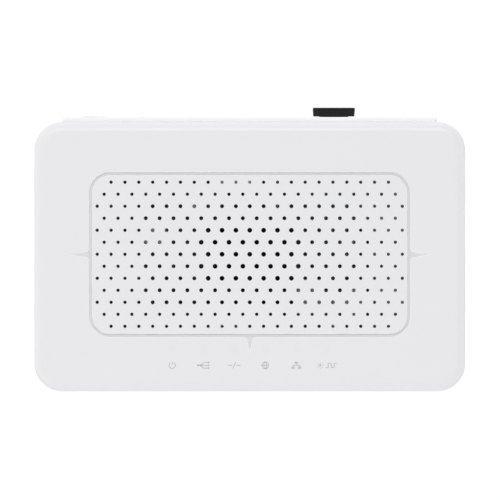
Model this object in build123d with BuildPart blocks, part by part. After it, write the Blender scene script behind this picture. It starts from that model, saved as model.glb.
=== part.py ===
from build123d import *
import os
from math import radians, sin

os.makedirs("parts", exist_ok=True)

# Optical network terminal, in millimetres.
# Origin: on the table, under the middle of the bounding box.  +X is right as seen from the front,
# +Y points to the rear port panel and +Z is up.

# ---- case shells ----
CASE_WIDTH = 132.0
CASE_FRONT = -43.5
CASE_REAR = 39.1
CASE_TOP = 27.0
CASE_BOTTOM = 1.2
PARTING_Z = 11.0
PARTING_GAP = 0.2
WALL = 2.0
CORNER_R = 8.6
TOP_EDGE_R = 3.0
BOTTOM_EDGE_R = 2.0
LIP_THICKNESS = 0.9
LIP_HEIGHT = 1.8
REBATE_WIDTH = 1.0
REBATE_HEIGHT = 2.0

CASE_DEPTH = CASE_REAR - CASE_FRONT
CASE_MID_Y = (CASE_REAR + CASE_FRONT) / 2
ROOF_UNDERSIDE = CASE_TOP - WALL
FLOOR_TOP = CASE_BOTTOM + WALL
LOWER_WALL_TOP = PARTING_Z - PARTING_GAP

# ---- vent field, its groove and the three spikes ----
VENT_MID_Y = -1.45
VENT_PITCH = 4.245
VENT_ROW_PITCH = VENT_PITCH * sin(radians(60))
VENT_OUTER_ROW = 6  # rows run from -6 to +6
VENT_ROW_HOLES = 23
VENT_LARGE_REACH = (3.75, 2)  # columns and rows from the middle
VENT_MEDIUM_REACH = (7.75, 4)
VENT_LARGE_R = 0.735
VENT_MEDIUM_R = 0.61
VENT_SMALL_R = 0.51
GROOVE_MID_Y = -1.6
GROOVE_SPAN_X = 97.4
GROOVE_SPAN_Y = 49.5
GROOVE_R = 5.9
GROOVE_WIDTH = 1.24  # across its bevelled edges, at the surface
GROOVE_BEVEL = 0.22
GROOVE_FLOOR_WIDTH = 0.76
GROOVE_DEPTH = 0.42
FIELD_STEP = 0.03  # the field inside the groove stands this much above the rest of the top
SIDE_SPIKE_LENGTH = 6.2
FRONT_SPIKE_LENGTH = 4.9
SPIKE_ROOT_HALF = 1.75
SPIKE_FLARE_AT, SPIKE_FLARE_HALF = 0.33, 1.2
SPIKE_SHOULDER_AT, SPIKE_SHOULDER_HALF = 1.1, 0.88
SPIKE_DEPTH = 0.22
SPIKE_WALL_SLOPE = 45  # degrees from upright

SHELL_TOP = CASE_TOP - FIELD_STEP

# ---- status lamps ----
LAMP_PITCH = 9.5
LAMP_Y = -30.5
LAMP_WINDOW = 0.6  # what is left of the roof over each lamp
LAMP_WINDOW_R = 1.8
LAMP_XS = [LAMP_PITCH * (i - 2.5) for i in range(6)]
LAMP_SIZE = (2.0, 1.25)
LAMP_LENS_WIDTH = 1.2
LAMP_LAYER = 0.4  # the lamp is a base and a lens, each this tall
GUIDE_PIPE_R = 1.5
GUIDE_GAP = 0.3  # from the lamp to the foot of its pipe
GUIDE_STRIP = (64.0, 3.4)
STRIP_BOTTOM, STRIP_TOP = 20.0, 21.5
STAKE_POSITIONS = [(-29, LAMP_Y), (29, LAMP_Y)]
STAKE_POST_R = 2.0
STAKE_PIN_R = 0.9
STAKE_HOLE_R = 1.0
STAKE_GAP = 0.1
STAKE_HEAD = 0.6  # the pin comes out below the strip by this much

# ---- feet, screws, wall mounting ----
FOOT_R = 5.0
FOOT_RECESS = 0.6
FOOT_BEVEL = 0.4
FOOT_CLEARANCE = 0.2
FOOT_POSITIONS = [(-50, -32), (50, -32), (-50, 27), (50, 27)]
CASE_SCREW_POSITIONS = [(-59.5, -37), (59.5, -37), (-60, 31), (60, 31)]
SCREW_HEAD_R = 2.7
SCREW_HEAD_HEIGHT = 2.2
SCREW_HEAD_EDGE_R = 0.6
SCREW_SEAT_Z = 5.0
SCREW_SHANK_R = 1.45
SCREW_TIP_Z = 16.0
SCREW_POINT = 0.7
SCREW_CROSS = (3.0, 0.8)
SCREW_CROSS_DEPTH = 1.3
SCREW_CLEARANCE = 0.2
PILOT_CLEARANCE = 0.05
PILOT_DEPTH = 10.0
LOWER_BOSS_R = 3.75
UPPER_BOSS_R = 3.25
BOSS_SPLIT_Z = 8.0
BOSS_GAP = 0.2
JOIN = 0.5  # how far a boss, rib or post runs into the wall that it stands on
KEYHOLE_SPACING = 70.0
KEYHOLE_Y = -2.0
KEYHOLE_ENTRY_R = 3.5
KEYHOLE_SLOT_WIDTH = 3.8
KEYHOLE_SLOT_TRAVEL = 6.0
KEYHOLE_XS = [-KEYHOLE_SPACING / 2, KEYHOLE_SPACING / 2]
POCKET_SIZE = (9.0, 15.0)  # inside each keyhole's cover
POCKET_SHIFT = 2.5
POCKET_WALL = 1.0
POCKET_CORNER_R = 1.0
POCKET_TOP = 6.0
POCKET_ROOF = 0.8
LABEL_SIZE = (56.0, 33.0)
LABEL_CORNER_R = 1.5
LABEL_RECESS = 0.3
LABEL_THICKNESS = 0.2
LABEL_MARGIN = 0.5
VENT_SLOT_PITCH = 5.0
VENT_SLOT = (12.0, 1.8)
FRONT_SLOTS = [(VENT_SLOT_PITCH * (i - 7), -28.5) for i in range(13)]
REAR_SLOTS = [(VENT_SLOT_PITCH * (i - 7), 24.0) for i in range(9)]

# ---- rear port panel ----
PANEL_FACE = 40.6
PANEL_THICKNESS = 2.0
PANEL_HALF_WIDTH = 57.4
PANEL_BOTTOM = 5.2
PANEL_TOP = 22.8
PANEL_RIM = 1.2
PANEL_INNER_END = 35.3
PANEL_FLANGE_FACE = 36.8
PANEL_FLANGE = 1.5
PANEL_CLEARANCE = 0.2
PANEL_CORNER_R = 0.8
PANEL_EDGE_R = 0.45
PANEL_RIB = (4.0, 1.4)
PANEL_RIB_HEIGHT = 5.5
PANEL_RIB_POSITIONS = [(-41.2, 34.4), (-15.5, 34.4), (8.5, 34.4), (46, 34.4)]
PORT_CLEARANCE = 0.2
PANEL_MID_Z = (PANEL_BOTTOM + PANEL_TOP) / 2
PANEL_HEIGHT = PANEL_TOP - PANEL_BOTTOM
PANEL_BACK = PANEL_FACE - PANEL_THICKNESS
PANEL_OPENING = (2 * (PANEL_HALF_WIDTH + PANEL_CLEARANCE), PANEL_HEIGHT + 2 * PANEL_CLEARANCE)
PANEL_HOLLOW = (2 * (PANEL_HALF_WIDTH - PANEL_RIM), PANEL_HEIGHT - 2 * PANEL_RIM)

# ---- main board ----
BOARD_BOTTOM = 6.2
BOARD_TOP = 7.8
BOARD_LEFT, BOARD_RIGHT = -60.0, 36.5
BOARD_FRONT, BOARD_REAR = -38.0, 33.0
BOARD_NOTCH_LEFT, BOARD_NOTCH_FRONT = 17.0, 8.0  # the optical port hangs beside the board here
BOARD_BOSS_CLEARANCE = 0.55
BOARD_SCREW_POSITIONS = [(-56, -24), (-56, 20), (31, -34), (10, 29)]
STANDOFF_R = 2.75
BOARD_SCREW_R = 1.2
BOARD_SCREW_HEAD_R = 2.5
BOARD_SCREW_HEAD_HEIGHT = 1.7
BOARD_SCREW_CROSS = (2.8, 0.6)
BOARD_SCREW_CROSS_DEPTH = 1.0
BOARD_SCREW_TIP_Z = 3.8
BOARD_PILOT_BOTTOM = 3.6
BOARD_HOLE_R = 1.5

# ---- ports, left to right ----
BUTTON_X, BUTTON_Z = -48.0, 12.0
BUTTON_SIZE = 7.4
BUTTON_HOLE = 8.0
DC_X, DC_Z = -33.0, 13.6
DC_HOLE_R = 4.3
RESET_X, RESET_Z = -21.5, 10.0
RESET_HOLE_R = 1.1
LAN_X = -4.0
LAN_WIDTH, LAN_HEIGHT, LAN_LENGTH = 16.0, 13.4, 21.2
LAN_FACE = 40.3
SC_X, SC_Z = 25.8, 14.2
SC_WIDTH, SC_HEIGHT = 12.9, 9.3
SC_FACE, SC_BACK = 40.2, 15.6
SC_MIDDLE = (SC_FACE + SC_BACK) / 2
LAN_MID_Z = BOARD_TOP + LAN_HEIGHT / 2


def behind(y):
    """Sketch plane at this y, with sketch x along +X and sketch y along +Z; it extrudes to the front."""
    return Plane.XZ.offset(-y)


def case_outline(inset, mode=Mode.ADD):
    """The case's plan outline, moved inwards."""
    with Locations((0, CASE_MID_Y)):
        RectangleRounded(CASE_WIDTH - 2 * inset, CASE_DEPTH - 2 * inset, CORNER_R - inset, mode=mode)


def save(piece, name):
    """Label one finished piece and write its STEP file."""
    piece.part.label = name
    export_step(piece.part, f"parts/{name}.step")


# ======================================================================== top cover
def vent_radius(column, row):
    """The holes are largest in the middle of the field and smallest at its rim."""
    if abs(column) <= VENT_LARGE_REACH[0] and abs(row) <= VENT_LARGE_REACH[1]:
        return VENT_LARGE_R
    if abs(column) <= VENT_MEDIUM_REACH[0] and abs(row) <= VENT_MEDIUM_REACH[1]:
        return VENT_MEDIUM_R
    return VENT_SMALL_R


def vent_rows():
    """Every hole as (x, y, radius), on a triangular lattice whose outer rows are two holes shorter."""
    for row in range(-VENT_OUTER_ROW, VENT_OUTER_ROW + 1):
        count = VENT_ROW_HOLES - 1 if row % 2 else VENT_ROW_HOLES
        if abs(row) == VENT_OUTER_ROW:
            count -= 2
        for i in range(count):
            column = i - (count - 1) / 2
            x = column * VENT_PITCH
            y = VENT_MID_Y + row * VENT_ROW_PITCH
            yield x, y, vent_radius(column, row)


def spike(length):
    """One spike's outline along +X from the groove's outer edge, with a concave flare at its root."""
    with BuildSketch() as outline:
        with BuildLine():
            flare = (SPIKE_FLARE_AT, SPIKE_FLARE_HALF)
            shoulder = (SPIKE_SHOULDER_AT, SPIKE_SHOULDER_HALF)
            Line((-GROOVE_WIDTH / 2, 0), (-GROOVE_WIDTH / 2, SPIKE_ROOT_HALF))
            Line((-GROOVE_WIDTH / 2, SPIKE_ROOT_HALF), (0, SPIKE_ROOT_HALF))
            ThreePointArc((0, SPIKE_ROOT_HALF), flare, shoulder)
            Line(shoulder, (length, 0))
            mirror(about=Plane.XZ)
        make_face()
    return outline.sketch


# the groove's closed centre line, and its section on the right-hand side
with BuildSketch(Plane.XY.offset(SHELL_TOP)) as groove_ring:
    with Locations((0, GROOVE_MID_Y)):
        RectangleRounded(GROOVE_SPAN_X, GROOVE_SPAN_Y, GROOVE_R)
groove_line = groove_ring.sketch.faces()[0].outer_wire()
with BuildSketch(behind(GROOVE_MID_Y)) as groove_section:
    with BuildLine():
        Polyline(
            (GROOVE_SPAN_X / 2 - GROOVE_WIDTH / 2, CASE_TOP),
            (GROOVE_SPAN_X / 2 + GROOVE_WIDTH / 2, CASE_TOP),
            (GROOVE_SPAN_X / 2 + GROOVE_WIDTH / 2 - GROOVE_BEVEL, CASE_TOP - GROOVE_BEVEL),
            (GROOVE_SPAN_X / 2 + GROOVE_FLOOR_WIDTH / 2, SHELL_TOP - GROOVE_DEPTH),
            (GROOVE_SPAN_X / 2 - GROOVE_FLOOR_WIDTH / 2, SHELL_TOP - GROOVE_DEPTH),
            (GROOVE_SPAN_X / 2 - GROOVE_WIDTH / 2 + GROOVE_BEVEL, CASE_TOP - GROOVE_BEVEL),
            close=True,
        )
    make_face()

groove_half_x = (GROOVE_SPAN_X + GROOVE_WIDTH) / 2
groove_half_y = (GROOVE_SPAN_Y + GROOVE_WIDTH) / 2
SPIKES = [
    (groove_half_x, GROOVE_MID_Y, 0, SIDE_SPIKE_LENGTH),
    (-groove_half_x, GROOVE_MID_Y, 180, SIDE_SPIKE_LENGTH),
    (0, GROOVE_MID_Y - groove_half_y, 270, FRONT_SPIKE_LENGTH),
]

with BuildPart() as top_cover:
    with BuildSketch(Plane.XY.offset(PARTING_Z)):
        case_outline(0)
    extrude(amount=SHELL_TOP - PARTING_Z)
    fillet(top_cover.edges().group_by(Axis.Z)[-1], radius=TOP_EDGE_R)
    add(extrude(groove_ring.sketch, amount=FIELD_STEP, mode=Mode.PRIVATE))
    with BuildSketch(Plane.XY.offset(PARTING_Z)):
        case_outline(WALL)
    extrude(amount=ROOF_UNDERSIDE - PARTING_Z, mode=Mode.SUBTRACT)
    # rebate that takes the lower shell's lip
    with BuildSketch(Plane.XY.offset(PARTING_Z)):
        case_outline(REBATE_WIDTH)
    extrude(amount=REBATE_HEIGHT, mode=Mode.SUBTRACT)
    # screw bosses hang from the roof
    with BuildSketch(Plane.XY.offset(BOSS_SPLIT_Z + BOSS_GAP)):
        with Locations(*CASE_SCREW_POSITIONS):
            Circle(UPPER_BOSS_R)
    extrude(amount=ROOF_UNDERSIDE - BOSS_SPLIT_Z - BOSS_GAP + JOIN)
    # the light guide is staked to two short posts
    with BuildSketch(Plane.XY.offset(ROOF_UNDERSIDE + JOIN)):
        with Locations(*STAKE_POSITIONS):
            Circle(STAKE_POST_R)
    extrude(amount=STRIP_TOP - ROOF_UNDERSIDE + STAKE_GAP - JOIN)
    with BuildSketch(Plane.XY.offset(STRIP_BOTTOM - STAKE_HEAD)):
        with Locations(*STAKE_POSITIONS):
            Circle(STAKE_PIN_R)
    extrude(amount=STRIP_TOP - STRIP_BOTTOM + STAKE_HEAD + JOIN)
    # screw pilots
    with BuildSketch(Plane.XY.offset(BOSS_SPLIT_Z)):
        with Locations(*CASE_SCREW_POSITIONS):
            Circle(SCREW_SHANK_R + PILOT_CLEARANCE)
    extrude(amount=PILOT_DEPTH, mode=Mode.SUBTRACT)
    # rear wall opening for the port panel
    with BuildSketch(behind(CASE_REAR)):
        with Locations((0, PANEL_MID_Z)):
            Rectangle(*PANEL_OPENING)
    extrude(amount=WALL + JOIN, mode=Mode.SUBTRACT)
    # groove round the vent field, and the spikes that open into it
    sweep(groove_section.sketch, path=groove_line, mode=Mode.SUBTRACT)
    with BuildSketch(Plane.XY.offset(SHELL_TOP)):
        for spike_x, spike_y, spike_turn, spike_length in SPIKES:
            with Locations(Location((spike_x, spike_y, 0), (0, 0, spike_turn))):
                add(spike(spike_length))
    extrude(amount=-SPIKE_DEPTH, taper=SPIKE_WALL_SLOPE, mode=Mode.SUBTRACT)
    # the wall is thinned from inside over each lamp, so that its light shows through
    with BuildSketch(Plane.XY.offset(ROOF_UNDERSIDE)):
        with Locations(*[(x, LAMP_Y) for x in LAMP_XS]):
            Circle(LAMP_WINDOW_R)
    extrude(amount=WALL - LAMP_WINDOW, mode=Mode.SUBTRACT)
    # the holes
    with BuildSketch(Plane.XY.offset(ROOF_UNDERSIDE)):
        for hole_x, hole_y, hole_r in vent_rows():
            with Locations((hole_x, hole_y)):
                Circle(hole_r)
    extrude(amount=WALL, mode=Mode.SUBTRACT)
save(top_cover, "top_cover")

# ======================================================================== bottom cover
CRADLE_TOP = SC_Z - SC_HEIGHT / 2 - 0.05
CRADLE_RIB = (16.4, 1.6)
CRADLE_OFFSET = 2.0  # of each rib's middle from the adapter flange's middle

with BuildPart() as bottom_cover:
    with BuildSketch(Plane.XY.offset(CASE_BOTTOM)):
        case_outline(0)
    extrude(amount=LOWER_WALL_TOP - CASE_BOTTOM)
    fillet(bottom_cover.edges().group_by(Axis.Z)[0], radius=BOTTOM_EDGE_R)
    with BuildSketch(Plane.XY.offset(FLOOR_TOP)):
        case_outline(WALL)
    extrude(amount=LOWER_WALL_TOP - FLOOR_TOP, mode=Mode.SUBTRACT)
    # lip that fits inside the upper shell
    with BuildSketch(Plane.XY.offset(LOWER_WALL_TOP)):
        case_outline(WALL - LIP_THICKNESS)
        case_outline(WALL, Mode.SUBTRACT)
    extrude(amount=LIP_HEIGHT)
    # rear wall opening for the port panel
    with BuildSketch(behind(CASE_REAR)):
        with Locations((0, PANEL_MID_Z)):
            Rectangle(*PANEL_OPENING)
    extrude(amount=WALL + JOIN, mode=Mode.SUBTRACT)
    # screw bosses
    with BuildSketch(Plane.XY.offset(FLOOR_TOP - JOIN)):
        with Locations(*CASE_SCREW_POSITIONS):
            Circle(LOWER_BOSS_R)
    extrude(amount=BOSS_SPLIT_Z - FLOOR_TOP + JOIN)
    with BuildSketch(Plane.XY.offset(CASE_BOTTOM)):
        with Locations(*CASE_SCREW_POSITIONS):
            Circle(SCREW_HEAD_R + SCREW_CLEARANCE)
    extrude(amount=SCREW_SEAT_Z - CASE_BOTTOM, mode=Mode.SUBTRACT)
    with BuildSketch(Plane.XY.offset(CASE_BOTTOM)):
        with Locations(*CASE_SCREW_POSITIONS):
            Circle(SCREW_SHANK_R + SCREW_CLEARANCE)
    extrude(amount=BOSS_SPLIT_Z - CASE_BOTTOM, mode=Mode.SUBTRACT)
    # board standoffs, with blind pilot holes
    with BuildSketch(Plane.XY.offset(FLOOR_TOP - JOIN)):
        with Locations(*BOARD_SCREW_POSITIONS):
            Circle(STANDOFF_R)
    extrude(amount=BOARD_BOTTOM - FLOOR_TOP + JOIN)
    with BuildSketch(Plane.XY.offset(BOARD_BOTTOM)):
        with Locations(*BOARD_SCREW_POSITIONS):
            Circle(BOARD_SCREW_R + PILOT_CLEARANCE)
    extrude(amount=BOARD_PILOT_BOTTOM - BOARD_BOTTOM, mode=Mode.SUBTRACT)
    # closed pockets over the wall-mount keyholes keep the screws off the board
    with BuildSketch(Plane.XY.offset(FLOOR_TOP - JOIN)):
        with Locations(*[(x, KEYHOLE_Y + POCKET_SHIFT) for x in KEYHOLE_XS]):
            RectangleRounded(
                POCKET_SIZE[0] + 2 * POCKET_WALL,
                POCKET_SIZE[1] + 2 * POCKET_WALL,
                POCKET_CORNER_R + POCKET_WALL,
            )
    extrude(amount=POCKET_TOP - FLOOR_TOP + JOIN)
    with BuildSketch(Plane.XY.offset(FLOOR_TOP)):
        with Locations(*[(x, KEYHOLE_Y + POCKET_SHIFT) for x in KEYHOLE_XS]):
            RectangleRounded(*POCKET_SIZE, POCKET_CORNER_R)
    extrude(amount=POCKET_TOP - POCKET_ROOF - FLOOR_TOP, mode=Mode.SUBTRACT)
    with BuildSketch(Plane.XY.offset(CASE_BOTTOM)):
        with Locations(*[(x, KEYHOLE_Y) for x in KEYHOLE_XS]):
            Circle(KEYHOLE_ENTRY_R)
        with Locations(*[(x, KEYHOLE_Y + KEYHOLE_SLOT_TRAVEL / 2) for x in KEYHOLE_XS]):
            SlotCenterToCenter(KEYHOLE_SLOT_TRAVEL, KEYHOLE_SLOT_WIDTH, rotation=90)
    extrude(amount=WALL, mode=Mode.SUBTRACT)
    # cradle ribs either side of the optical adapter's flange
    with BuildSketch(Plane.XY.offset(FLOOR_TOP - JOIN)):
        with Locations((SC_X, SC_MIDDLE - CRADLE_OFFSET), (SC_X, SC_MIDDLE + CRADLE_OFFSET)):
            Rectangle(*CRADLE_RIB)
    extrude(amount=CRADLE_TOP - FLOOR_TOP + JOIN)
    # ribs that hold the port panel's flange
    with BuildSketch(Plane.XY.offset(FLOOR_TOP - JOIN)):
        with Locations(*PANEL_RIB_POSITIONS):
            Rectangle(*PANEL_RIB)
    extrude(amount=PANEL_RIB_HEIGHT + JOIN)
    # foot recesses, label recess and vent slots in the base
    with BuildSketch(Plane.XY.offset(CASE_BOTTOM)):
        with Locations(*FOOT_POSITIONS):
            Circle(FOOT_R + FOOT_CLEARANCE)
    extrude(amount=FOOT_RECESS, mode=Mode.SUBTRACT)
    with BuildSketch(Plane.XY.offset(CASE_BOTTOM)):
        with Locations((0, KEYHOLE_Y)):
            RectangleRounded(*LABEL_SIZE, LABEL_CORNER_R)
    extrude(amount=LABEL_RECESS, mode=Mode.SUBTRACT)
    with BuildSketch(Plane.XY.offset(CASE_BOTTOM)):
        with Locations(*FRONT_SLOTS, *REAR_SLOTS):
            SlotOverall(*VENT_SLOT, rotation=90)
    extrude(amount=WALL, mode=Mode.SUBTRACT)
save(bottom_cover, "bottom_cover")

with BuildPart() as rubber_feet:
    with BuildSketch():
        with Locations(*FOOT_POSITIONS):
            Circle(FOOT_R)
    extrude(amount=CASE_BOTTOM + FOOT_RECESS)
    chamfer(rubber_feet.edges().group_by(Axis.Z)[0], length=FOOT_BEVEL)
save(rubber_feet, "rubber_feet")

with BuildPart() as case_screws:
    with BuildSketch(Plane.XY.offset(SCREW_SEAT_Z)):
        with Locations(*CASE_SCREW_POSITIONS):
            Circle(SCREW_HEAD_R)
    extrude(amount=-SCREW_HEAD_HEIGHT)
    fillet(case_screws.edges().group_by(Axis.Z)[0], radius=SCREW_HEAD_EDGE_R)
    with BuildSketch(Plane.XY.offset(SCREW_SEAT_Z)):
        with Locations(*CASE_SCREW_POSITIONS):
            Circle(SCREW_SHANK_R)
    extrude(amount=SCREW_TIP_Z - SCREW_SEAT_Z)
    chamfer(case_screws.edges().group_by(Axis.Z)[-1], length=SCREW_POINT)
    # cross recess
    with BuildSketch(Plane.XY.offset(SCREW_SEAT_Z - SCREW_HEAD_HEIGHT)):
        with Locations(*CASE_SCREW_POSITIONS):
            Rectangle(*SCREW_CROSS)
            Rectangle(*SCREW_CROSS, rotation=90)
    extrude(amount=SCREW_CROSS_DEPTH, mode=Mode.SUBTRACT)
save(case_screws, "case_screws")

with BuildPart() as rating_label:
    with BuildSketch(Plane.XY.offset(CASE_BOTTOM + LABEL_RECESS)):
        with Locations((0, KEYHOLE_Y)):
            RectangleRounded(
                LABEL_SIZE[0] - 2 * LABEL_MARGIN,
                LABEL_SIZE[1] - 2 * LABEL_MARGIN,
                LABEL_CORNER_R - LABEL_MARGIN,
            )
    extrude(amount=-LABEL_THICKNESS)
save(rating_label, "rating_label")

# ======================================================================== rear panel
with BuildPart() as rear_panel:
    with BuildSketch(behind(PANEL_FACE)):
        with Locations((0, PANEL_MID_Z)):
            RectangleRounded(2 * PANEL_HALF_WIDTH, PANEL_HEIGHT, PANEL_CORNER_R)
    extrude(amount=PANEL_THICKNESS)
    fillet(rear_panel.faces().sort_by(Axis.Y)[-1].edges(), radius=PANEL_EDGE_R)
    with BuildSketch(behind(PANEL_BACK)):
        with Locations((0, PANEL_MID_Z)):
            RectangleRounded(2 * PANEL_HALF_WIDTH, PANEL_HEIGHT, PANEL_CORNER_R)
            Rectangle(*PANEL_HOLLOW, mode=Mode.SUBTRACT)
    extrude(amount=PANEL_BACK - PANEL_INNER_END)
    with BuildSketch(behind(PANEL_FLANGE_FACE)):
        with Locations((0, PANEL_MID_Z)):
            Rectangle(2 * (PANEL_HALF_WIDTH + PANEL_FLANGE), PANEL_HEIGHT + 2 * PANEL_FLANGE)
            Rectangle(*PANEL_HOLLOW, mode=Mode.SUBTRACT)
    extrude(amount=PANEL_FLANGE_FACE - PANEL_INNER_END)
    # port cut-outs
    with BuildSketch(behind(PANEL_FACE)):
        with Locations((SC_X, SC_Z)):
            Rectangle(SC_WIDTH + 2 * PORT_CLEARANCE, SC_HEIGHT + 2 * PORT_CLEARANCE)
        with Locations((LAN_X, LAN_MID_Z)):
            Rectangle(LAN_WIDTH + 2 * PORT_CLEARANCE, LAN_HEIGHT + 2 * PORT_CLEARANCE)
        with Locations((DC_X, DC_Z)):
            Circle(DC_HOLE_R)
        with Locations((BUTTON_X, BUTTON_Z)):
            RectangleRounded(BUTTON_HOLE, BUTTON_HOLE, PANEL_CORNER_R)
        with Locations((RESET_X, RESET_Z)):
            Circle(RESET_HOLE_R)
    extrude(amount=PANEL_THICKNESS, mode=Mode.SUBTRACT)
save(rear_panel, "rear_panel")

# ======================================================================== main board
with BuildPart() as main_board:
    with BuildSketch(Plane.XY.offset(BOARD_BOTTOM)):
        with Locations(((BOARD_LEFT + BOARD_RIGHT) / 2, (BOARD_FRONT + BOARD_REAR) / 2)):
            Rectangle(BOARD_RIGHT - BOARD_LEFT, BOARD_REAR - BOARD_FRONT)
        with Locations((BOARD_NOTCH_LEFT, BOARD_NOTCH_FRONT)):
            Rectangle(
                BOARD_RIGHT - BOARD_NOTCH_LEFT,
                BOARD_REAR - BOARD_NOTCH_FRONT,
                align=(Align.MIN, Align.MIN),
                mode=Mode.SUBTRACT,
            )
        with Locations(*CASE_SCREW_POSITIONS):
            Circle(LOWER_BOSS_R + BOARD_BOSS_CLEARANCE, mode=Mode.SUBTRACT)
        with Locations(*BOARD_SCREW_POSITIONS):
            Circle(BOARD_HOLE_R, mode=Mode.SUBTRACT)
    extrude(amount=BOARD_TOP - BOARD_BOTTOM)
save(main_board, "main_board")

with BuildPart() as board_screws:
    with BuildSketch(Plane.XY.offset(BOARD_TOP)):
        with Locations(*BOARD_SCREW_POSITIONS):
            Circle(BOARD_SCREW_HEAD_R)
    extrude(amount=BOARD_SCREW_HEAD_HEIGHT)
    fillet(board_screws.edges().group_by(Axis.Z)[-1], radius=SCREW_HEAD_EDGE_R)
    with BuildSketch(Plane.XY.offset(BOARD_TOP)):
        with Locations(*BOARD_SCREW_POSITIONS):
            Circle(BOARD_SCREW_R)
    extrude(amount=BOARD_SCREW_TIP_Z - BOARD_TOP)
    with BuildSketch(Plane.XY.offset(BOARD_TOP + BOARD_SCREW_HEAD_HEIGHT)):
        with Locations(*BOARD_SCREW_POSITIONS):
            Rectangle(*BOARD_SCREW_CROSS)
            Rectangle(*BOARD_SCREW_CROSS, rotation=90)
    extrude(amount=-BOARD_SCREW_CROSS_DEPTH, mode=Mode.SUBTRACT)
save(board_screws, "board_screws")

# ======================================================================== processor and its cooling
CPU_AT = (0.0, -6.0)
CPU_SIZE = 17.0
CPU_SUBSTRATE = 0.6
CPU_STEP = 0.8
CPU_TOP = BOARD_TOP + 1.4
PAD_SIZE = 14.0
PAD_TOP = CPU_TOP + 0.5
SINK_SIZE = 28.0
SINK_BASE = 2.0
SINK_HEIGHT = 10.0
FIN_PITCH = 3.25
FIN_THICKNESS = 1.0
FIN_CROSS_CUT = 1.6
FIN_XS = [FIN_PITCH * (i - 4) + CPU_AT[0] for i in range(9)]


def plate(size_x, size_y, bottom, height, places, mode=Mode.ADD):
    """A rectangular block at each place, standing on the given height."""
    with BuildSketch(Plane.XY.offset(bottom)) as outline:
        with Locations(*places):
            Rectangle(size_x, size_y)
    extrude(outline.sketch, amount=height, mode=mode)


with BuildPart() as main_processor:
    plate(CPU_SIZE, CPU_SIZE, BOARD_TOP, CPU_SUBSTRATE, [CPU_AT])
    cap_size = CPU_SIZE - 2 * CPU_STEP
    plate(cap_size, cap_size, BOARD_TOP + CPU_SUBSTRATE, CPU_TOP - BOARD_TOP - CPU_SUBSTRATE, [CPU_AT])
    chamfer(main_processor.edges().group_by(Axis.Z)[-1], length=0.3)
save(main_processor, "main_processor")

with BuildPart() as thermal_pad:
    plate(PAD_SIZE, PAD_SIZE, CPU_TOP, PAD_TOP - CPU_TOP, [CPU_AT])
save(thermal_pad, "thermal_pad")

with BuildPart() as heat_sink:
    plate(SINK_SIZE, SINK_SIZE, PAD_TOP, SINK_BASE, [CPU_AT])
    fin_places = [(x, CPU_AT[1]) for x in FIN_XS]
    plate(FIN_THICKNESS, SINK_SIZE, PAD_TOP + SINK_BASE, SINK_HEIGHT - SINK_BASE, fin_places)
    # one cross cut turns the fins into blades
    plate(SINK_SIZE, FIN_CROSS_CUT, PAD_TOP + SINK_BASE, SINK_HEIGHT, [CPU_AT], Mode.SUBTRACT)
save(heat_sink, "heat_sink")

# ======================================================================== chips and small parts
PACKAGE_SPLIT = 0.45  # share of a package's height below the mould line
PACKAGE_DRAFT = 8
LEG_LENGTH, LEG_THICKNESS = 1.0, 0.25


def chip(size_x, size_y, height, at):
    """A moulded package, square below its mould line and drafted above it."""
    plate(size_x, size_y, BOARD_TOP, height * PACKAGE_SPLIT, [at])
    with BuildSketch(Plane.XY.offset(BOARD_TOP + height * PACKAGE_SPLIT)) as outline:
        with Locations(at):
            Rectangle(size_x, size_y)
    extrude(outline.sketch, amount=height * (1 - PACKAGE_SPLIT), taper=PACKAGE_DRAFT)


def gull_legs(count, pitch, reach, at):
    """Two rows of flat legs under a package, standing out by the given reach from its middle."""
    places = []
    for i in range(count):
        leg_x = at[0] + pitch * (i - (count - 1) / 2)
        places.append((leg_x, at[1] + reach))
        places.append((leg_x, at[1] - reach))
    plate(pitch * 0.35, LEG_LENGTH, BOARD_TOP, LEG_THICKNESS, places)


with BuildPart() as memory_chip:
    chip(9.0, 13.0, 1.1, (-22, -14))
save(memory_chip, "memory_chip")

FLASH_AT = (17.5, -25.5)
with BuildPart() as flash_chip:
    chip(5.2, 4.0, 1.7, FLASH_AT)
    gull_legs(4, 1.27, 2.35, FLASH_AT)
save(flash_chip, "flash_chip")

with BuildPart() as laser_driver_chip:
    chip(4.0, 4.0, 0.9, (19, -14.5))
save(laser_driver_chip, "laser_driver_chip")

with BuildPart() as regulator_chips:
    for regulator_at in [(-46, -22), (-46, -4)]:
        chip(6.5, 3.6, 1.6, regulator_at)
        gull_legs(3, 2.3, 2.2, regulator_at)
save(regulator_chips, "regulator_chips")

TRANSFORMER_AT = (-1.5, 13.6)
with BuildPart() as lan_transformer:
    chip(12.6, 7.0, 5.4, TRANSFORMER_AT)
    gull_legs(8, 1.5, 3.9, TRANSFORMER_AT)
save(lan_transformer, "lan_transformer")

# each can's x, y, radius and height
CAPACITORS = [(-28.8, 4.0, 4.0, 11.8), (-17.5, 11.8, 2.5, 11.0), (-52.0, 8.0, 4.0, 11.8)]
CAN_EDGE_R = 0.5
CAN_SCORE_WIDTH, CAN_SCORE_DEPTH = 0.3, 0.2
with BuildPart() as electrolytic_capacitors:
    for can_x, can_y, can_r, can_height in CAPACITORS:
        with BuildSketch(Plane.XY.offset(BOARD_TOP)):
            with Locations((can_x, can_y)):
                Circle(can_r)
        extrude(amount=can_height)
    fillet(electrolytic_capacitors.edges().filter_by(GeomType.CIRCLE), radius=CAN_EDGE_R)
    # scored vent cross in each can's top
    for can_x, can_y, can_r, can_height in CAPACITORS:
        with BuildSketch(Plane.XY.offset(BOARD_TOP + can_height)):
            with Locations((can_x, can_y)):
                Rectangle(can_r * 1.2, CAN_SCORE_WIDTH)
                Rectangle(CAN_SCORE_WIDTH, can_r * 1.2)
        extrude(amount=-CAN_SCORE_DEPTH, mode=Mode.SUBTRACT)
save(electrolytic_capacitors, "electrolytic_capacitors")

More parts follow.
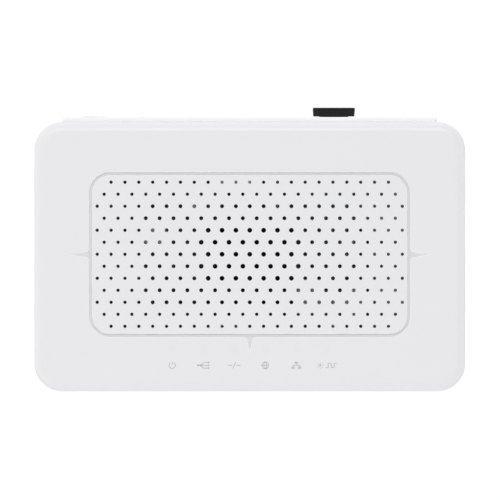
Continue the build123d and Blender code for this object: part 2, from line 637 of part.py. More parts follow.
INDUCTOR_POSITIONS = [(-38, -15), (-40, 6)]
INDUCTOR_BASE = (7.0, 7.0, 1.4)  # two sides and the corner radius
INDUCTOR_BASE_TOP = BOARD_TOP + 1.0
INDUCTOR_WAIST_R, INDUCTOR_WAIST_TOP = 2.9, BOARD_TOP + 3.2
INDUCTOR_FLANGE_R, INDUCTOR_TOP = 3.4, BOARD_TOP + 4.0
with BuildPart() as power_inductors:
    with BuildSketch(Plane.XY.offset(BOARD_TOP)):
        with Locations(*INDUCTOR_POSITIONS):
            RectangleRounded(*INDUCTOR_BASE)
    extrude(amount=INDUCTOR_BASE_TOP - BOARD_TOP)
    with BuildSketch(Plane.XY.offset(INDUCTOR_BASE_TOP)):
        with Locations(*INDUCTOR_POSITIONS):
            Circle(INDUCTOR_WAIST_R)
    extrude(amount=INDUCTOR_WAIST_TOP - INDUCTOR_BASE_TOP)
    with BuildSketch(Plane.XY.offset(INDUCTOR_WAIST_TOP)):
        with Locations(*INDUCTOR_POSITIONS):
            Circle(INDUCTOR_FLANGE_R)
    extrude(amount=INDUCTOR_TOP - INDUCTOR_WAIST_TOP)
save(power_inductors, "power_inductors")

CRYSTAL_AT = (-8, -25.5)
CRYSTAL_FLANGE = (11.0, 4.6)
CRYSTAL_CAN = (10.2, 3.8)
CRYSTAL_FLANGE_HEIGHT, CRYSTAL_HEIGHT = 0.5, 3.5
with BuildPart() as crystal:
    with BuildSketch(Plane.XY.offset(BOARD_TOP)):
        with Locations(CRYSTAL_AT):
            SlotOverall(*CRYSTAL_FLANGE)
    extrude(amount=CRYSTAL_FLANGE_HEIGHT)
    with BuildSketch(Plane.XY.offset(BOARD_TOP + CRYSTAL_FLANGE_HEIGHT)):
        with Locations(CRYSTAL_AT):
            SlotOverall(*CRYSTAL_CAN)
    extrude(amount=CRYSTAL_HEIGHT - CRYSTAL_FLANGE_HEIGHT)
    fillet(crystal.edges().group_by(Axis.Z)[-1], radius=0.4)
save(crystal, "crystal")

# each row's first x and y, its step in x and y, and its count
COMPONENT_ROWS = [
    (-33, -33.5, 3.0, 0, 8),
    (12, -2, 0, 2.2, 5),
    (-13, -12, 0, 2.2, 4),
    (-12.6, 9.4, 0, 2.2, 3),
    (8, 11, 0, 2.4, 5),
    (-44, 14, 3.0, 0, 3),
    (-30, -25, 3.0, 0, 6),
    (22, -2, 2.6, 0, 4),
]
COMPONENT_SIZE = (1.6, 0.9)
COMPONENT_HEIGHT = 0.7
with BuildPart() as chip_components:
    for row_x, row_y, step_x, step_y, row_count in COMPONENT_ROWS:
        row_places = [(row_x + step_x * i, row_y + step_y * i) for i in range(row_count)]
        plate(*COMPONENT_SIZE, BOARD_TOP, COMPONENT_HEIGHT, row_places)
save(chip_components, "chip_components")

HEADER_PITCH = 2.54
HEADER_PLACES = [(-57, -12 + HEADER_PITCH * i) for i in range(4)]
HEADER_BASE = 2.5
HEADER_PIN, HEADER_PIN_LENGTH = 0.64, 6.0
with BuildPart() as debug_header:
    plate(HEADER_BASE, HEADER_PITCH, BOARD_TOP, HEADER_BASE, HEADER_PLACES)
    plate(HEADER_PIN, HEADER_PIN, BOARD_TOP + HEADER_BASE, HEADER_PIN_LENGTH, HEADER_PLACES)
save(debug_header, "debug_header")

# ======================================================================== status lamps and light guide
with BuildPart() as status_leds:
    lamp_places = [(x, LAMP_Y) for x in LAMP_XS]
    plate(*LAMP_SIZE, BOARD_TOP, LAMP_LAYER, lamp_places)
    plate(LAMP_LENS_WIDTH, LAMP_SIZE[1], BOARD_TOP + LAMP_LAYER, LAMP_LAYER, lamp_places)
save(status_leds, "status_leds")

PIPE_BOTTOM = BOARD_TOP + 2 * LAMP_LAYER + GUIDE_GAP
PIPE_TOP = CASE_TOP - LAMP_WINDOW - 0.2
with BuildPart() as light_guide:
    with BuildSketch(Plane.XY.offset(PIPE_BOTTOM)):
        with Locations(*lamp_places):
            Circle(GUIDE_PIPE_R)
    extrude(amount=PIPE_TOP - PIPE_BOTTOM)
    with BuildSketch(Plane.XY.offset(STRIP_BOTTOM)):
        with Locations((0, LAMP_Y)):
            SlotOverall(*GUIDE_STRIP)
        with Locations(*STAKE_POSITIONS):
            Circle(STAKE_HOLE_R, mode=Mode.SUBTRACT)
    extrude(amount=STRIP_TOP - STRIP_BOTTOM)
save(light_guide, "light_guide")

# ======================================================================== LAN jack
SHELL = 0.3
INSERT_WIDTH = LAN_WIDTH - 2 * SHELL
INSERT_HEIGHT = LAN_HEIGHT - 2 * SHELL
SHELL_WINDOW = (INSERT_WIDTH - 1.2, INSERT_HEIGHT - 1.0)
SHELL_BEND_R = 0.35
PLUG_WIDTH, PLUG_BOTTOM, PLUG_TOP = 11.9, 12.3, 19.2
PLUG_DEPTH = 13.0
# the two latch steps under the plug: width, height and how far the middle is below it
LATCH_STEPS = [(6.5, 2.0, 0.9), (3.9, 1.4, 2.4)]
CONTACT_SLOT = (0.6, 1.0)
CONTACT_SLOT_START = 0.6
CONTACT_PITCH = 1.02
CONTACT_R = 0.23
CONTACT_XS = [LAN_X + CONTACT_PITCH * (i - 3.5) for i in range(8)]

with BuildPart() as lan_jack_shell:
    with BuildSketch(behind(LAN_FACE)):
        with Locations((LAN_X, LAN_MID_Z)):
            Rectangle(LAN_WIDTH, LAN_HEIGHT)
    extrude(amount=LAN_LENGTH)
    fillet(lan_jack_shell.edges().filter_by(Axis.Y), radius=SHELL_BEND_R)
    with BuildSketch(behind(LAN_FACE - SHELL)):
        with Locations((LAN_X, LAN_MID_Z)):
            Rectangle(INSERT_WIDTH, INSERT_HEIGHT)
    extrude(amount=LAN_LENGTH - 2 * SHELL, mode=Mode.SUBTRACT)
    with BuildSketch(behind(LAN_FACE)):
        with Locations((LAN_X, LAN_MID_Z)):
            Rectangle(*SHELL_WINDOW)
    extrude(amount=SHELL, mode=Mode.SUBTRACT)
save(lan_jack_shell, "lan_jack_shell")

with BuildPart() as lan_jack_insert:
    with BuildSketch(behind(LAN_FACE - SHELL)):
        with Locations((LAN_X, LAN_MID_Z)):
            Rectangle(INSERT_WIDTH, INSERT_HEIGHT)
    extrude(amount=LAN_LENGTH - 2 * SHELL)
    # plug cavity with the two latch steps below it
    with BuildSketch(behind(LAN_FACE - SHELL)):
        with Locations((LAN_X, (PLUG_BOTTOM + PLUG_TOP) / 2)):
            Rectangle(PLUG_WIDTH, PLUG_TOP - PLUG_BOTTOM)
        for step_width, step_height, step_below in LATCH_STEPS:
            with Locations((LAN_X, PLUG_BOTTOM - step_below)):
                Rectangle(step_width, step_height)
    extrude(amount=PLUG_DEPTH, mode=Mode.SUBTRACT)
    # a slot in the ceiling for each contact
    with BuildSketch(behind(LAN_FACE - SHELL - CONTACT_SLOT_START)):
        with Locations(*[(x, PLUG_TOP + 0.4) for x in CONTACT_XS]):
            Rectangle(*CONTACT_SLOT)
    extrude(amount=PLUG_DEPTH - CONTACT_SLOT_START, mode=Mode.SUBTRACT)
save(lan_jack_insert, "lan_jack_insert")

CONTACT_ROUTE = [(27.6, 19.62), (38.2, 19.62), (38.2, 18.72), (29.6, 17.75)]
CONTACT_BEND_R = 0.4
with BuildPart() as lan_jack_contacts:
    for contact_x in CONTACT_XS:
        with BuildLine() as contact_path:
            FilletPolyline(*[(contact_x, y, z) for y, z in CONTACT_ROUTE], radius=CONTACT_BEND_R)
        with BuildSketch(Plane(origin=contact_path.line @ 0, z_dir=contact_path.line % 0)):
            Circle(CONTACT_R)
        sweep(path=contact_path.line)
save(lan_jack_contacts, "lan_jack_contacts")

# ======================================================================== power inlet
DC_BODY_FACE = 38.4
DC_COLLAR_FACE = 40.2
DC_BORE_R = 3.2
DC_BORE_END = 30.2
DC_PIN_END = 39.0
DC_PIN_R = 1.0
DC_PIN_ROOT_R, DC_PIN_ROOT = 1.4, 2.0
DC_BODY_R, DC_BODY_LENGTH = 4.5, 14.0
DC_COLLAR_R = 4.0
DC_SLOT = (2.6, 2.0)
DC_SLOT_START = 0.6
DC_SPRING_ROUTE = [(30.5, 9.75), (36.0, 11.0), (37.5, 10.2)]
DC_SPRING_WIDTH, DC_SPRING_THICKNESS = 2.2, 0.3

with BuildPart() as dc_jack_body:
    with BuildSketch(behind(DC_BODY_FACE)):
        with Locations((DC_X, (BOARD_TOP + DC_Z) / 2)):
            Rectangle(2 * DC_BODY_R, DC_Z - BOARD_TOP)
        with Locations((DC_X, DC_Z)):
            Circle(DC_BODY_R)
    extrude(amount=DC_BODY_LENGTH)
    with BuildSketch(behind(DC_COLLAR_FACE)):
        with Locations((DC_X, DC_Z)):
            Circle(DC_COLLAR_R)
    extrude(amount=DC_COLLAR_FACE - DC_BODY_FACE)
    with BuildSketch(behind(DC_COLLAR_FACE)):
        with Locations((DC_X, DC_Z)):
            Circle(DC_BORE_R)
    extrude(amount=DC_COLLAR_FACE - DC_BORE_END, mode=Mode.SUBTRACT)
    with BuildSketch(behind(DC_BORE_END)):
        with Locations((DC_X, DC_Z)):
            Circle(DC_PIN_ROOT_R)
    extrude(amount=DC_PIN_ROOT, mode=Mode.SUBTRACT)
    # slot for the sleeve contact, under the bore
    with BuildSketch(behind(DC_BODY_FACE - DC_SLOT_START)):
        with Locations((DC_X, DC_Z - DC_BORE_R)):
            Rectangle(*DC_SLOT)
    extrude(amount=DC_BODY_FACE - DC_SLOT_START - DC_BORE_END, mode=Mode.SUBTRACT)
save(dc_jack_body, "dc_jack_body")

with BuildPart() as dc_jack_pin:
    with BuildSketch(behind(DC_PIN_END)):
        with Locations((DC_X, DC_Z)):
            Circle(DC_PIN_R)
    extrude(amount=DC_PIN_END - DC_BORE_END)
    fillet(dc_jack_pin.faces().sort_by(Axis.Y)[-1].edges(), radius=0.6)
    with BuildSketch(behind(DC_BORE_END)):
        with Locations((DC_X, DC_Z)):
            Circle(DC_PIN_ROOT_R)
    extrude(amount=DC_PIN_ROOT)
save(dc_jack_pin, "dc_jack_pin")

with BuildPart() as dc_jack_spring:
    with BuildSketch(Plane.YZ.offset(DC_X - DC_SPRING_WIDTH / 2)):
        with BuildLine():
            Polyline(*DC_SPRING_ROUTE)
        trace(line_width=DC_SPRING_THICKNESS)
    extrude(amount=DC_SPRING_WIDTH)
save(dc_jack_spring, "dc_jack_spring")

# ======================================================================== power switch and button
SWITCH_FACE, SWITCH_BACK = 34.6, 22.0
SWITCH_SIZE = 8.4
CHAMBER_FRONT, CHAMBER_BACK = 34.0, 23.6
CHAMBER_SIZE = 6.6
SHAFT_SIZE = 4.0
BUTTON_FACE = 40.8
BUTTON_BACK = 36.9
BUTTON_COLLAR_FACE = 38.2
BUTTON_COLLAR = 9.0
BUTTON_CORNER_R = 0.7
BUTTON_EDGE_R = 0.4
BUTTON_SOCKET = 1.5
STOP_FACE, STOP_BACK = 33.7, 32.4
STOP_CLEARANCE = 0.3
SHAFT_CLEARANCE = 0.2
SHAFT_END = BUTTON_BACK + BUTTON_SOCKET
SPRING_GUIDE_R, SPRING_GUIDE_LENGTH = 1.3, 3.4
SPRING_END_GAP = 0.05
SPRING_END = 23.8
SPRING_WIRE_R = 0.22
SPRING_R = 2.3
SPRING_TURNS = 7


def square_bar(size, face, length, x, z, mode=Mode.ADD):
    """A square bar whose rear face is at the given y and which runs to the front."""
    with BuildSketch(behind(face)) as outline:
        with Locations((x, z)):
            Rectangle(size, size)
    extrude(outline.sketch, amount=length, mode=mode)


with BuildPart() as power_switch_body:
    square_bar(SWITCH_SIZE, SWITCH_FACE, SWITCH_FACE - SWITCH_BACK, BUTTON_X, BUTTON_Z)
    fillet(power_switch_body.edges().filter_by(Axis.Y), radius=0.4)
    chamber_length = CHAMBER_FRONT - CHAMBER_BACK
    square_bar(CHAMBER_SIZE, CHAMBER_FRONT, chamber_length, BUTTON_X, BUTTON_Z, Mode.SUBTRACT)
    shaft_hole = SHAFT_SIZE + 2 * SHAFT_CLEARANCE
    square_bar(shaft_hole, SWITCH_FACE, SWITCH_FACE - CHAMBER_FRONT, BUTTON_X, BUTTON_Z, Mode.SUBTRACT)
save(power_switch_body, "power_switch_body")

with BuildPart() as switch_plunger:
    square_bar(SHAFT_SIZE, SHAFT_END, SHAFT_END - STOP_BACK, BUTTON_X, BUTTON_Z)
    stop_size = CHAMBER_SIZE - 2 * STOP_CLEARANCE
    square_bar(stop_size, STOP_FACE, STOP_FACE - STOP_BACK, BUTTON_X, BUTTON_Z)
    with BuildSketch(behind(STOP_BACK)):
        with Locations((BUTTON_X, BUTTON_Z)):
            Circle(SPRING_GUIDE_R)
    extrude(amount=SPRING_GUIDE_LENGTH)
save(switch_plunger, "switch_plunger")

with BuildPart() as switch_spring:
    spring_length = STOP_BACK - SPRING_END - 2 * (SPRING_WIRE_R + SPRING_END_GAP)
    spring_start = (BUTTON_X, SPRING_END + SPRING_WIRE_R + SPRING_END_GAP, BUTTON_Z)
    with BuildLine() as coil:
        Helix(
            pitch=spring_length / SPRING_TURNS,
            height=spring_length,
            radius=SPRING_R,
            center=spring_start,
            direction=(0, 1, 0),
        )
    with BuildSketch(Plane(origin=coil.line @ 0, z_dir=coil.line % 0)):
        Circle(SPRING_WIRE_R)
    sweep(path=coil.line)
save(switch_spring, "switch_spring")

with BuildPart() as power_button:
    with BuildSketch(behind(BUTTON_FACE)):
        with Locations((BUTTON_X, BUTTON_Z)):
            RectangleRounded(BUTTON_SIZE, BUTTON_SIZE, BUTTON_CORNER_R)
    extrude(amount=BUTTON_FACE - BUTTON_BACK)
    fillet(power_button.faces().sort_by(Axis.Y)[-1].edges(), radius=BUTTON_EDGE_R)
    # collar that keeps it behind the panel
    with BuildSketch(behind(BUTTON_COLLAR_FACE)):
        with Locations((BUTTON_X, BUTTON_Z)):
            RectangleRounded(BUTTON_COLLAR, BUTTON_COLLAR, BUTTON_CORNER_R)
    extrude(amount=BUTTON_COLLAR_FACE - BUTTON_BACK)
    square_bar(SHAFT_SIZE, SHAFT_END, BUTTON_SOCKET, BUTTON_X, BUTTON_Z, Mode.SUBTRACT)
save(power_button, "power_button")

# ======================================================================== reset switch
RESET_BODY_FACE = 31.0
RESET_PLUNGER_FACE = 32.6
RESET_BODY_WIDTH, RESET_BODY_SIZE = 6.4, 4.4  # its depth is the same as its height
RESET_CAVITY = (3.2, 2.0)
RESET_CAVITY_DEPTH = 2.2
RESET_PLUNGER = (2.6, 1.4)
RESET_PLUNGER_INSIDE = 1.7

with BuildPart() as reset_switch_body:
    with BuildSketch(behind(RESET_BODY_FACE)):
        with Locations((RESET_X, BOARD_TOP + RESET_BODY_SIZE / 2)):
            Rectangle(RESET_BODY_WIDTH, RESET_BODY_SIZE)
    extrude(amount=RESET_BODY_SIZE)
    chamfer(reset_switch_body.edges().filter_by(Axis.Y).group_by(Axis.Z)[-1], length=0.5)
    with BuildSketch(behind(RESET_BODY_FACE)):
        with Locations((RESET_X, RESET_Z)):
            Rectangle(*RESET_CAVITY)
    extrude(amount=RESET_CAVITY_DEPTH, mode=Mode.SUBTRACT)
save(reset_switch_body, "reset_switch_body")

with BuildPart() as reset_plunger:
    with BuildSketch(behind(RESET_PLUNGER_FACE)):
        with Locations((RESET_X, RESET_Z)):
            Rectangle(*RESET_PLUNGER)
    extrude(amount=RESET_PLUNGER_FACE - RESET_BODY_FACE + RESET_PLUNGER_INSIDE)
save(reset_plunger, "reset_plunger")

# ======================================================================== optical port
SC_CAVITY_WIDTH, SC_CAVITY_HEIGHT = 9.2, 7.6
SC_FRONT_CAVITY_END = 29.0
SC_REAR_CAVITY_END = 26.4
HOLDER_R, HOLDER_BORE_R = 2.35, 1.7
SLEEVE_R, SLEEVE_BORE_R, SLEEVE_HALF = 1.6, 1.25, 5.7
HOLDER_HALF = 6.0
SLEEVE_SLIT = (0.5, 1.6)
FERRULE_R = 1.24
ADAPTER_FLANGE = (16.0, 12.4)
ADAPTER_FLANGE_THICKNESS = 2.0
KEY_SLOT = (2.4, 1.8)
KEY_SLOT_LENGTH = 4.0
LATCH_ARM = (0.8, 3.6)
LATCH_ARM_LENGTH = 3.4
LATCH_ARM_OFFSET = 3.9


def port_box(width, height, face, length, mode=Mode.ADD):
    """A rectangular bar on the optical port's axis, from its rear face to the front."""
    with BuildSketch(behind(face)) as outline:
        with Locations((SC_X, SC_Z)):
            Rectangle(width, height)
    extrude(outline.sketch, amount=length, mode=mode)


def port_rod(radius, face, length, mode=Mode.ADD):
    """A round bar on the optical port's axis, from its rear face to the front."""
    with BuildSketch(behind(face)) as outline:
        with Locations((SC_X, SC_Z)):
            Circle(radius)
    extrude(outline.sketch, amount=length, mode=mode)


with BuildPart() as optical_adapter:
    port_box(SC_WIDTH, SC_HEIGHT, SC_FACE, SC_FACE - SC_BACK)
    port_box(*ADAPTER_FLANGE, SC_MIDDLE + ADAPTER_FLANGE_THICKNESS / 2, ADAPTER_FLANGE_THICKNESS)
    fillet(optical_adapter.edges().filter_by(Axis.Y), radius=0.4)
    port_box(SC_CAVITY_WIDTH, SC_CAVITY_HEIGHT, SC_FACE, SC_FACE - SC_BACK, Mode.SUBTRACT)
    # key slot in the top, where the plug's key runs
    with BuildSketch(behind(SC_FACE)):
        with Locations((SC_X, SC_Z + SC_HEIGHT / 2)):
            Rectangle(*KEY_SLOT)
    extrude(amount=KEY_SLOT_LENGTH, mode=Mode.SUBTRACT)
save(optical_adapter, "optical_adapter")

with BuildPart() as sleeve_holder:
    web = SC_FRONT_CAVITY_END - SC_REAR_CAVITY_END
    port_box(SC_CAVITY_WIDTH, SC_CAVITY_HEIGHT, SC_FRONT_CAVITY_END, web)
    port_rod(HOLDER_R, SC_MIDDLE + HOLDER_HALF, 2 * HOLDER_HALF)
    port_rod(HOLDER_BORE_R, SC_MIDDLE + HOLDER_HALF, 2 * HOLDER_HALF, Mode.SUBTRACT)
    # short latch arms on the outside of the port
    with BuildSketch(behind(SC_FRONT_CAVITY_END + LATCH_ARM_LENGTH)):
        with Locations((SC_X - LATCH_ARM_OFFSET, SC_Z), (SC_X + LATCH_ARM_OFFSET, SC_Z)):
            Rectangle(*LATCH_ARM)
    extrude(amount=LATCH_ARM_LENGTH)
save(sleeve_holder, "sleeve_holder")

with BuildPart() as adapter_sleeve:
    port_rod(SLEEVE_R, SC_MIDDLE + SLEEVE_HALF, 2 * SLEEVE_HALF)
    port_rod(SLEEVE_BORE_R, SC_MIDDLE + SLEEVE_HALF, 2 * SLEEVE_HALF, Mode.SUBTRACT)
    with BuildSketch(behind(SC_MIDDLE + SLEEVE_HALF)):
        with Locations((SC_X, SC_Z - SLEEVE_R)):
            Rectangle(*SLEEVE_SLIT)
    extrude(amount=2 * SLEEVE_HALF, mode=Mode.SUBTRACT)
save(adapter_sleeve, "adapter_sleeve")

PLUG_BACK = 2.0
PLUG_NOSE = 26.2
PLUG_SIZE = (8.9, 7.3)
PLUG_EDGE_R = 0.5
NOSE_BORE_END = 21.4
NOSE_CLEARANCE = 0.2
FERRULE_BACK = 17.0
GRIP_YS = [12.0, 10.2, 8.4, 6.6, 4.8]
GRIP_WIDTH, GRIP_DEPTH = 0.8, 0.4
with BuildPart() as fibre_connector:
    port_box(*PLUG_SIZE, PLUG_NOSE, PLUG_NOSE - PLUG_BACK)
    fillet(fibre_connector.edges().filter_by(Axis.Y), radius=PLUG_EDGE_R)
    port_rod(HOLDER_R + NOSE_CLEARANCE, PLUG_NOSE, PLUG_NOSE - NOSE_BORE_END, Mode.SUBTRACT)
    port_rod(SLEEVE_BORE_R, NOSE_BORE_END, NOSE_BORE_END - FERRULE_BACK, Mode.SUBTRACT)
    # finger grips
    for grip_y in GRIP_YS:
        with BuildSketch(behind(grip_y)):
            with Locations((SC_X - PLUG_SIZE[0] / 2, SC_Z), (SC_X + PLUG_SIZE[0] / 2, SC_Z)):
                Rectangle(2 * GRIP_DEPTH, PLUG_SIZE[1])
        extrude(amount=GRIP_WIDTH, mode=Mode.SUBTRACT)
save(fibre_connector, "fibre_connector")

with BuildPart() as fibre_ferrule:
    port_rod(FERRULE_R, SC_MIDDLE, SC_MIDDLE - FERRULE_BACK)
    fillet(fibre_ferrule.faces().sort_by(Axis.Y)[-1].edges(), radius=0.3)
save(fibre_ferrule, "fibre_ferrule")

BOOT_END = -10.0
BOOT_ROOT_R, BOOT_TIP_R = 2.5, 1.0
with BuildPart() as fibre_boot:
    with BuildSketch(behind(PLUG_BACK)):
        with Locations((SC_X, SC_Z)):
            Circle(BOOT_ROOT_R)
    with BuildSketch(behind(BOOT_END)):
        with Locations((SC_X, SC_Z)):
            Circle(BOOT_TIP_R)
    loft()
save(fibre_boot, "fibre_boot")

# ---- dust cap ----
CAP_FACE = 43.5
CAP_BACK = 40.9
CAP_OUTER = (13.0, 10.7)
CAP_INNER = (12.6, 10.4)
CAP_CORNER_R = 0.8
CAP_EDGE_R = 0.35
CAP_PLUG = (8.9, 7.3)
CAP_PLUG_CORNER_R = 0.6
CAP_PLUG_END = 34.2
CAP_HOLLOW = (6.9, 5.3)
RIDGE_YS = [42.9, 42.1, 41.3]
RIDGE_CUT = (9.0, 0.5)
RIDGE_CUT_WIDTH = 0.3

with BuildPart() as dust_cap:
    with BuildSketch(behind(CAP_FACE)):
        with Locations((SC_X, SC_Z)):
            RectangleRounded(*CAP_OUTER, CAP_CORNER_R)
    with BuildSketch(behind(CAP_BACK)):
        with Locations((SC_X, SC_Z)):
            RectangleRounded(*CAP_INNER, CAP_CORNER_R)
    loft()
    fillet(dust_cap.faces().sort_by(Axis.Y)[-1].edges(), radius=CAP_EDGE_R)
    with BuildSketch(behind(CAP_BACK)):
        with Locations((SC_X, SC_Z)):
            RectangleRounded(*CAP_PLUG, CAP_PLUG_CORNER_R)
    extrude(amount=CAP_BACK - CAP_PLUG_END)
    port_box(*CAP_HOLLOW, CAP_BACK, CAP_BACK - CAP_PLUG_END, Mode.SUBTRACT)
    # grip cuts across the top and bottom of the flange
    for ridge_y in RIDGE_YS:
        with BuildSketch(behind(ridge_y)):
            with Locations((SC_X, SC_Z + CAP_OUTER[1] / 2), (SC_X, SC_Z - CAP_OUTER[1] / 2)):
                Rectangle(*RIDGE_CUT)
        extrude(amount=RIDGE_CUT_WIDTH, mode=Mode.SUBTRACT)
save(dust_cap, "dust_cap")

# ======================================================================== optical transceiver
OPTIC_X, OPTIC_Z = 31.6, 10.9
OPTIC_REAR, OPTIC_FRONT = -14.0, -23.0
OPTIC_SIZE, OPTIC_EDGE_R = 6.0, 0.5
OPTIC_SNOUT_R, OPTIC_SNOUT = 2.2, 4.0
STRAIN_ROOT_R, STRAIN_TIP_R = 1.5, 0.8
RECEIVER_Y = -18.5
PIGTAIL_END = -3.0
CAN_RIM = 0.8
LASER_RIM_R, LASER_R, LASER_LENGTH = 2.6, 2.2, 2.6
RECEIVER_RIM_R, RECEIVER_R, RECEIVER_LENGTH = 2.3, 1.9, 2.4
PIN_R = 0.225
PIN_OFFSETS = [-1.2, 0, 1.2]
PIN_BEND_R = 0.7
LASER_PIN_START = OPTIC_FRONT - CAN_RIM - LASER_LENGTH
LASER_PIN_BEND = LASER_PIN_START - 1.6
RECEIVER_PIN_START = OPTIC_X - OPTIC_SIZE / 2 - CAN_RIM - RECEIVER_LENGTH
RECEIVER_PIN_BEND = RECEIVER_PIN_START - 1.4


def optic_rod(radius, face, length):
    """A round bar on the transceiver's axis."""
    with BuildSketch(behind(face)) as outline:
        with Locations((OPTIC_X, OPTIC_Z)):
            Circle(radius)
    extrude(outline.sketch, amount=length)


with BuildPart() as optical_transceiver:
    with BuildSketch(behind(OPTIC_REAR)):
        with Locations((OPTIC_X, OPTIC_Z)):
            RectangleRounded(OPTIC_SIZE, OPTIC_SIZE, OPTIC_EDGE_R)
    extrude(amount=OPTIC_REAR - OPTIC_FRONT)
    optic_rod(OPTIC_SNOUT_R, OPTIC_REAR + OPTIC_SNOUT, OPTIC_SNOUT)
save(optical_transceiver, "optical_transceiver")

with BuildPart() as transceiver_boot:
    with BuildSketch(behind(PIGTAIL_END)):
        with Locations((OPTIC_X, OPTIC_Z)):
            Circle(STRAIN_TIP_R)
    with BuildSketch(behind(OPTIC_REAR + OPTIC_SNOUT)):
        with Locations((OPTIC_X, OPTIC_Z)):
            Circle(STRAIN_ROOT_R)
    loft()
save(transceiver_boot, "transceiver_boot")

with BuildPart() as transceiver_cans:
    # laser can at the front end
    optic_rod(LASER_RIM_R, OPTIC_FRONT, CAN_RIM)
    optic_rod(LASER_R, OPTIC_FRONT - CAN_RIM, LASER_LENGTH)
    # receiver can on the left side
    with BuildSketch(Plane.YZ.offset(OPTIC_X - OPTIC_SIZE / 2)):
        with Locations((RECEIVER_Y, OPTIC_Z)):
            Circle(RECEIVER_RIM_R)
    extrude(amount=-CAN_RIM)
    with BuildSketch(Plane.YZ.offset(OPTIC_X - OPTIC_SIZE / 2 - CAN_RIM)):
        with Locations((RECEIVER_Y, OPTIC_Z)):
            Circle(RECEIVER_R)
    extrude(amount=-RECEIVER_LENGTH)
save(transceiver_cans, "transceiver_cans")

with BuildPart() as transceiver_pins:
    for pin_offset in PIN_OFFSETS:
        with BuildLine() as laser_pin:
            FilletPolyline(
                (OPTIC_X + pin_offset, LASER_PIN_START, OPTIC_Z),
                (OPTIC_X + pin_offset, LASER_PIN_BEND, OPTIC_Z),
                (OPTIC_X + pin_offset, LASER_PIN_BEND, BOARD_TOP),
                radius=PIN_BEND_R,
            )
        with BuildSketch(Plane(origin=laser_pin.line @ 0, z_dir=laser_pin.line % 0)):
            Circle(PIN_R)
        sweep(path=laser_pin.line)
        with BuildLine() as receiver_pin:
            FilletPolyline(
                (RECEIVER_PIN_START, RECEIVER_Y + pin_offset, OPTIC_Z),
                (RECEIVER_PIN_BEND, RECEIVER_Y + pin_offset, OPTIC_Z),
                (RECEIVER_PIN_BEND, RECEIVER_Y + pin_offset, BOARD_TOP),
                radius=PIN_BEND_R,
            )
        with BuildSketch(Plane(origin=receiver_pin.line @ 0, z_dir=receiver_pin.line % 0)):
            Circle(PIN_R)
        sweep(path=receiver_pin.line)
save(transceiver_pins, "transceiver_pins")

SHIELD_AT = (18.6, -14.5)
SHIELD_SIZE = (8.6, 11.0)
SHIELD_HEIGHT = 2.8
SHIELD_HOLE_R, SHIELD_HOLE_PITCH = 0.4, 2.0
with BuildPart() as transceiver_shield:
    plate(*SHIELD_SIZE, BOARD_TOP, SHIELD_HEIGHT, [SHIELD_AT])
    fillet(transceiver_shield.edges().group_by(Axis.Z)[-1], radius=0.3)
    plate(
        SHIELD_SIZE[0] - 2 * SHELL,
        SHIELD_SIZE[1] - 2 * SHELL,
        BOARD_TOP,
        SHIELD_HEIGHT - SHELL,
        [SHIELD_AT],
        Mode.SUBTRACT,
    )
    with BuildSketch(Plane.XY.offset(BOARD_TOP + SHIELD_HEIGHT)):
        with Locations(SHIELD_AT):
            with GridLocations(SHIELD_HOLE_PITCH, SHIELD_HOLE_PITCH, 3, 4):
                Circle(SHIELD_HOLE_R)
    extrude(amount=-SHELL, mode=Mode.SUBTRACT)
save(transceiver_shield, "transceiver_shield")

# ======================================================================== fibre store
FIBRE_R = 0.45
# from the plug's boot, round the store twice, to the transceiver's boot; a radius for each corner
FIBRE_ROUTE = [
    (SC_X, BOOT_END, SC_Z),
    (SC_X, -33.5, 13.4),
    (60.5, -33.5, 7.6),
    (60.5, 26.5, 7.2),
    (40.0, 26.5, 7.2),
    (40.0, -31.0, 8.2),
    (59.0, -31.0, 8.8),
    (59.0, 24.5, 9.6),
    (42.0, 24.5, OPTIC_Z),
    (OPTIC_X, 8.0, OPTIC_Z),
    (OPTIC_X, PIGTAIL_END, OPTIC_Z),
]
FIBRE_RADII = [10.0, 10.0, 10.0, 10.0, 10.0, 8.5, 8.5, 14.0, 18.0]

with BuildPart() as fibre_pigtail:
    with BuildLine() as fibre_path:
        FilletPolyline(*FIBRE_ROUTE, radius=FIBRE_RADII)
    with BuildSketch(Plane(origin=fibre_path.line @ 0, z_dir=fibre_path.line % 0)):
        Circle(FIBRE_R)
    sweep(path=fibre_path.line)
save(fibre_pigtail, "fibre_pigtail")

TRAY_LEFT, TRAY_RIGHT = 41.0, 62.6
TRAY_FRONT, TRAY_REAR = -29.0, 24.0
TRAY_THICKNESS = 1.2
HUB_AT = (49.7, -3.5)
HUB_SIZE = (46.0, 14.0)
HUB_WALL = 1.4
HUB_TOP = 12.4
TRAY_CORNER_R = 4.0
FINGER_SIZE = (23.0, 5.0)
FINGER_OFFSET = 11.0
FINGER_THICKNESS = 1.0
POST_SIZE = (0.8, 5.0)
POST_HEIGHT = 5.0
POST_OFFSET = 12.0

